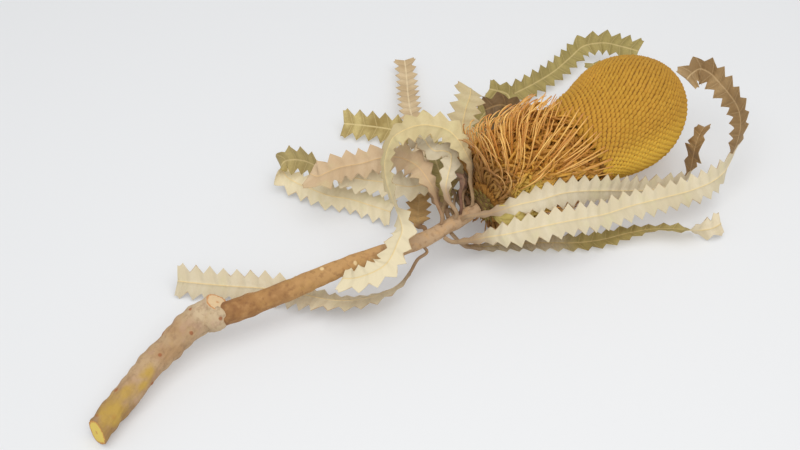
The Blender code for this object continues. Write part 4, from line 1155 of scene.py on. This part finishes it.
style_finish = Finish("styles", Roughness=0.3)
tint = style_finish.mark("tint")
length = style_finish.mark("length")
wire = style_finish.blend(tint, paint(206, 136, 50), paint(253, 203, 112))
# Painted shade: the styles are painted darker towards their roots, where they crowd together; the roots are also
# browner in themselves.
wire = style_finish.blend(style_finish.step(length, 0.45, 0.1) * 0.6, wire, paint(170, 104, 30))
wire = style_finish.blend(style_finish.step(length, 0.84, 1.0) * 0.45, wire, paint(176, 96, 50))
wire = style_finish.blend(style_finish.step(style_finish.mark("along"), 18.0, 6.0) * 0.6, wire, paint(150, 104, 66))
style_finish.feed("Base Color", wire)
tube_finish = Finish("floral tubes", Roughness=0.6)
tube = tube_finish.blend(tube_finish.mark("tint"), paint(172, 113, 34), paint(220, 164, 60))
tube = tube_finish.blend(tube_finish.step(tube_finish.mark("length"), 0.35, 0.0) * 0.5, tube, paint(156, 100, 34))
tube = tube_finish.blend(tube_finish.step(tube_finish.mark("along"), 20.0, 8.0) * 0.6, tube, paint(108, 74, 40))
tube = tube_finish.blend(tube_finish.step(tube_finish.mark("olive"), 0.25, 0.7) * 0.75, tube, paint(206, 178, 74))
tube_finish.feed("Base Color", tube)
tube_finish.feed("Normal", tube_finish.bump(tube_finish.noise(0.6, 2.0), 0.15))
heart_finish = Finish("floret core", Roughness=0.9)
heart_finish.feed("Base Color", heart_finish.blend(heart_finish.noise(2.0, 3.0), paint(148, 100, 38),
                                                   paint(190, 134, 56)))
scale_finish = Finish("foot scales", Roughness=0.6)
scale = scale_finish.blend(scale_finish.mark("tint"), paint(214, 192, 98), paint(234, 214, 128))
scale = scale_finish.blend(scale_finish.step(scale_finish.mark("length"), 0.8, 1.0) * 0.5, scale, paint(200, 156, 72))
scale_finish.feed("Base Color", scale)
scale_finish.feed("Normal", scale_finish.bump(scale_finish.noise(2.5, 2.0), 0.3))
points, faces, marks = styles()
make_piece("styles", points, faces, style_finish, ["open_florets"], marks)
points, faces, marks = tubes()
make_piece("floral_tubes", points, faces, tube_finish, ["open_florets"], marks)
points, faces, marks = scales()
make_piece("foot_scales", points, faces, scale_finish, ["open_florets"], marks)
points, faces = floret_core()
make_piece("floret_core", points, faces, heart_finish, ["open_florets"])

# %% [markdown]
# ## The bracts
#
# A collar of small pointed scales joins the cone to the shoot. They are narrow, felted and olive-brown, and
# they stand out and lean back. Each is a short flat wire with a wide foot, set in three rows round the axis.

# %% Bracts
def bracts():
    draw = np.random.default_rng(31)
    count = 42
    k = np.arange(count)
    row = k % 3
    angle = k * 2 * math.pi / count + draw.uniform(-0.05, 0.05, count)
    along = 0.9 + 1.5 * row
    out = np.array([7.6, 9.8, 11.4])[row] + draw.uniform(-0.8, 0.4, count)
    back = draw.uniform(0.6, 1.6, count)
    root = on_cone(along, np.full(count, 3.6), angle)
    bend = on_cone(along + 0.2, 0.75 * out, angle)
    tip = on_cone(np.maximum(along - back, 0.1), out, angle + draw.uniform(-0.05, 0.05, count))
    paths = bezier(root, bend, tip, 7)
    radii = np.array([1.1, 1.2, 1.2, 1.1, 0.85, 0.5, 0.12])[None] * draw.uniform(0.85, 1.1, count)[:, None]
    axis = unit(CONE_PATH[4, :3] - CONE_PATH[0, :3])
    points, faces, each = wires(paths, radii, 8, flat=0.35, face=axis)
    marks = {"length": np.tile(np.concatenate([np.repeat(np.linspace(0, 1, 7), 8), [0, 1]]), count),
             "tint": np.repeat(draw.uniform(0, 1, count), each)}
    return points, faces, marks


def collar():
    """The short closed stump inside the bracts."""
    columns = 60
    lengths = np.array([0.0, 0.15, 1.5, 3.0, 4.4, 4.85, 5.0])[:, None]
    angle = np.arange(columns)[None] * 2 * math.pi / columns
    reach = np.array([4.2, 4.8, 5.6, 6.3, 6.9, 6.8, 6.3])[:, None] + 0.25 * ripple(lengths, angle, 12, 12, 8.0, 20)
    rings = on_cone(lengths, reach, angle)
    points = np.vstack([rings.reshape(-1, 3), on_cone(lengths[0], np.zeros(1), np.zeros(1)),
                        on_cone(lengths[-1], np.zeros(1), np.zeros(1))])
    faces = [ring_faces(7, columns), fan_faces(0, columns, 7 * columns),
             fan_faces(6 * columns, columns, 7 * columns + 1)[:, ::-1]]
    return points, faces


bract_finish = Finish("bracts", Roughness=0.8)
scale = bract_finish.blend(bract_finish.mark("tint"), paint(120, 98, 48), paint(166, 146, 74))
scale = bract_finish.blend(bract_finish.step(bract_finish.mark("length"), 0.75, 1.0) * 0.7, scale, paint(96, 64, 34))
bract_finish.feed("Base Color", scale)
bract_finish.feed("Normal", bract_finish.bump(bract_finish.noise(0.5, 3.0), 0.2))
collar_finish = Finish("collar", Roughness=0.85)
collar_finish.feed("Base Color", collar_finish.blend(collar_finish.noise(1.5, 3.0), paint(96, 70, 38),
                                                     paint(140, 108, 62)))
points, faces, marks = bracts()
make_piece("bracts", points, faces, bract_finish, ["basal_bracts"], marks)
points, faces = collar()
make_piece("collar", points, faces, collar_finish, ["basal_bracts"])
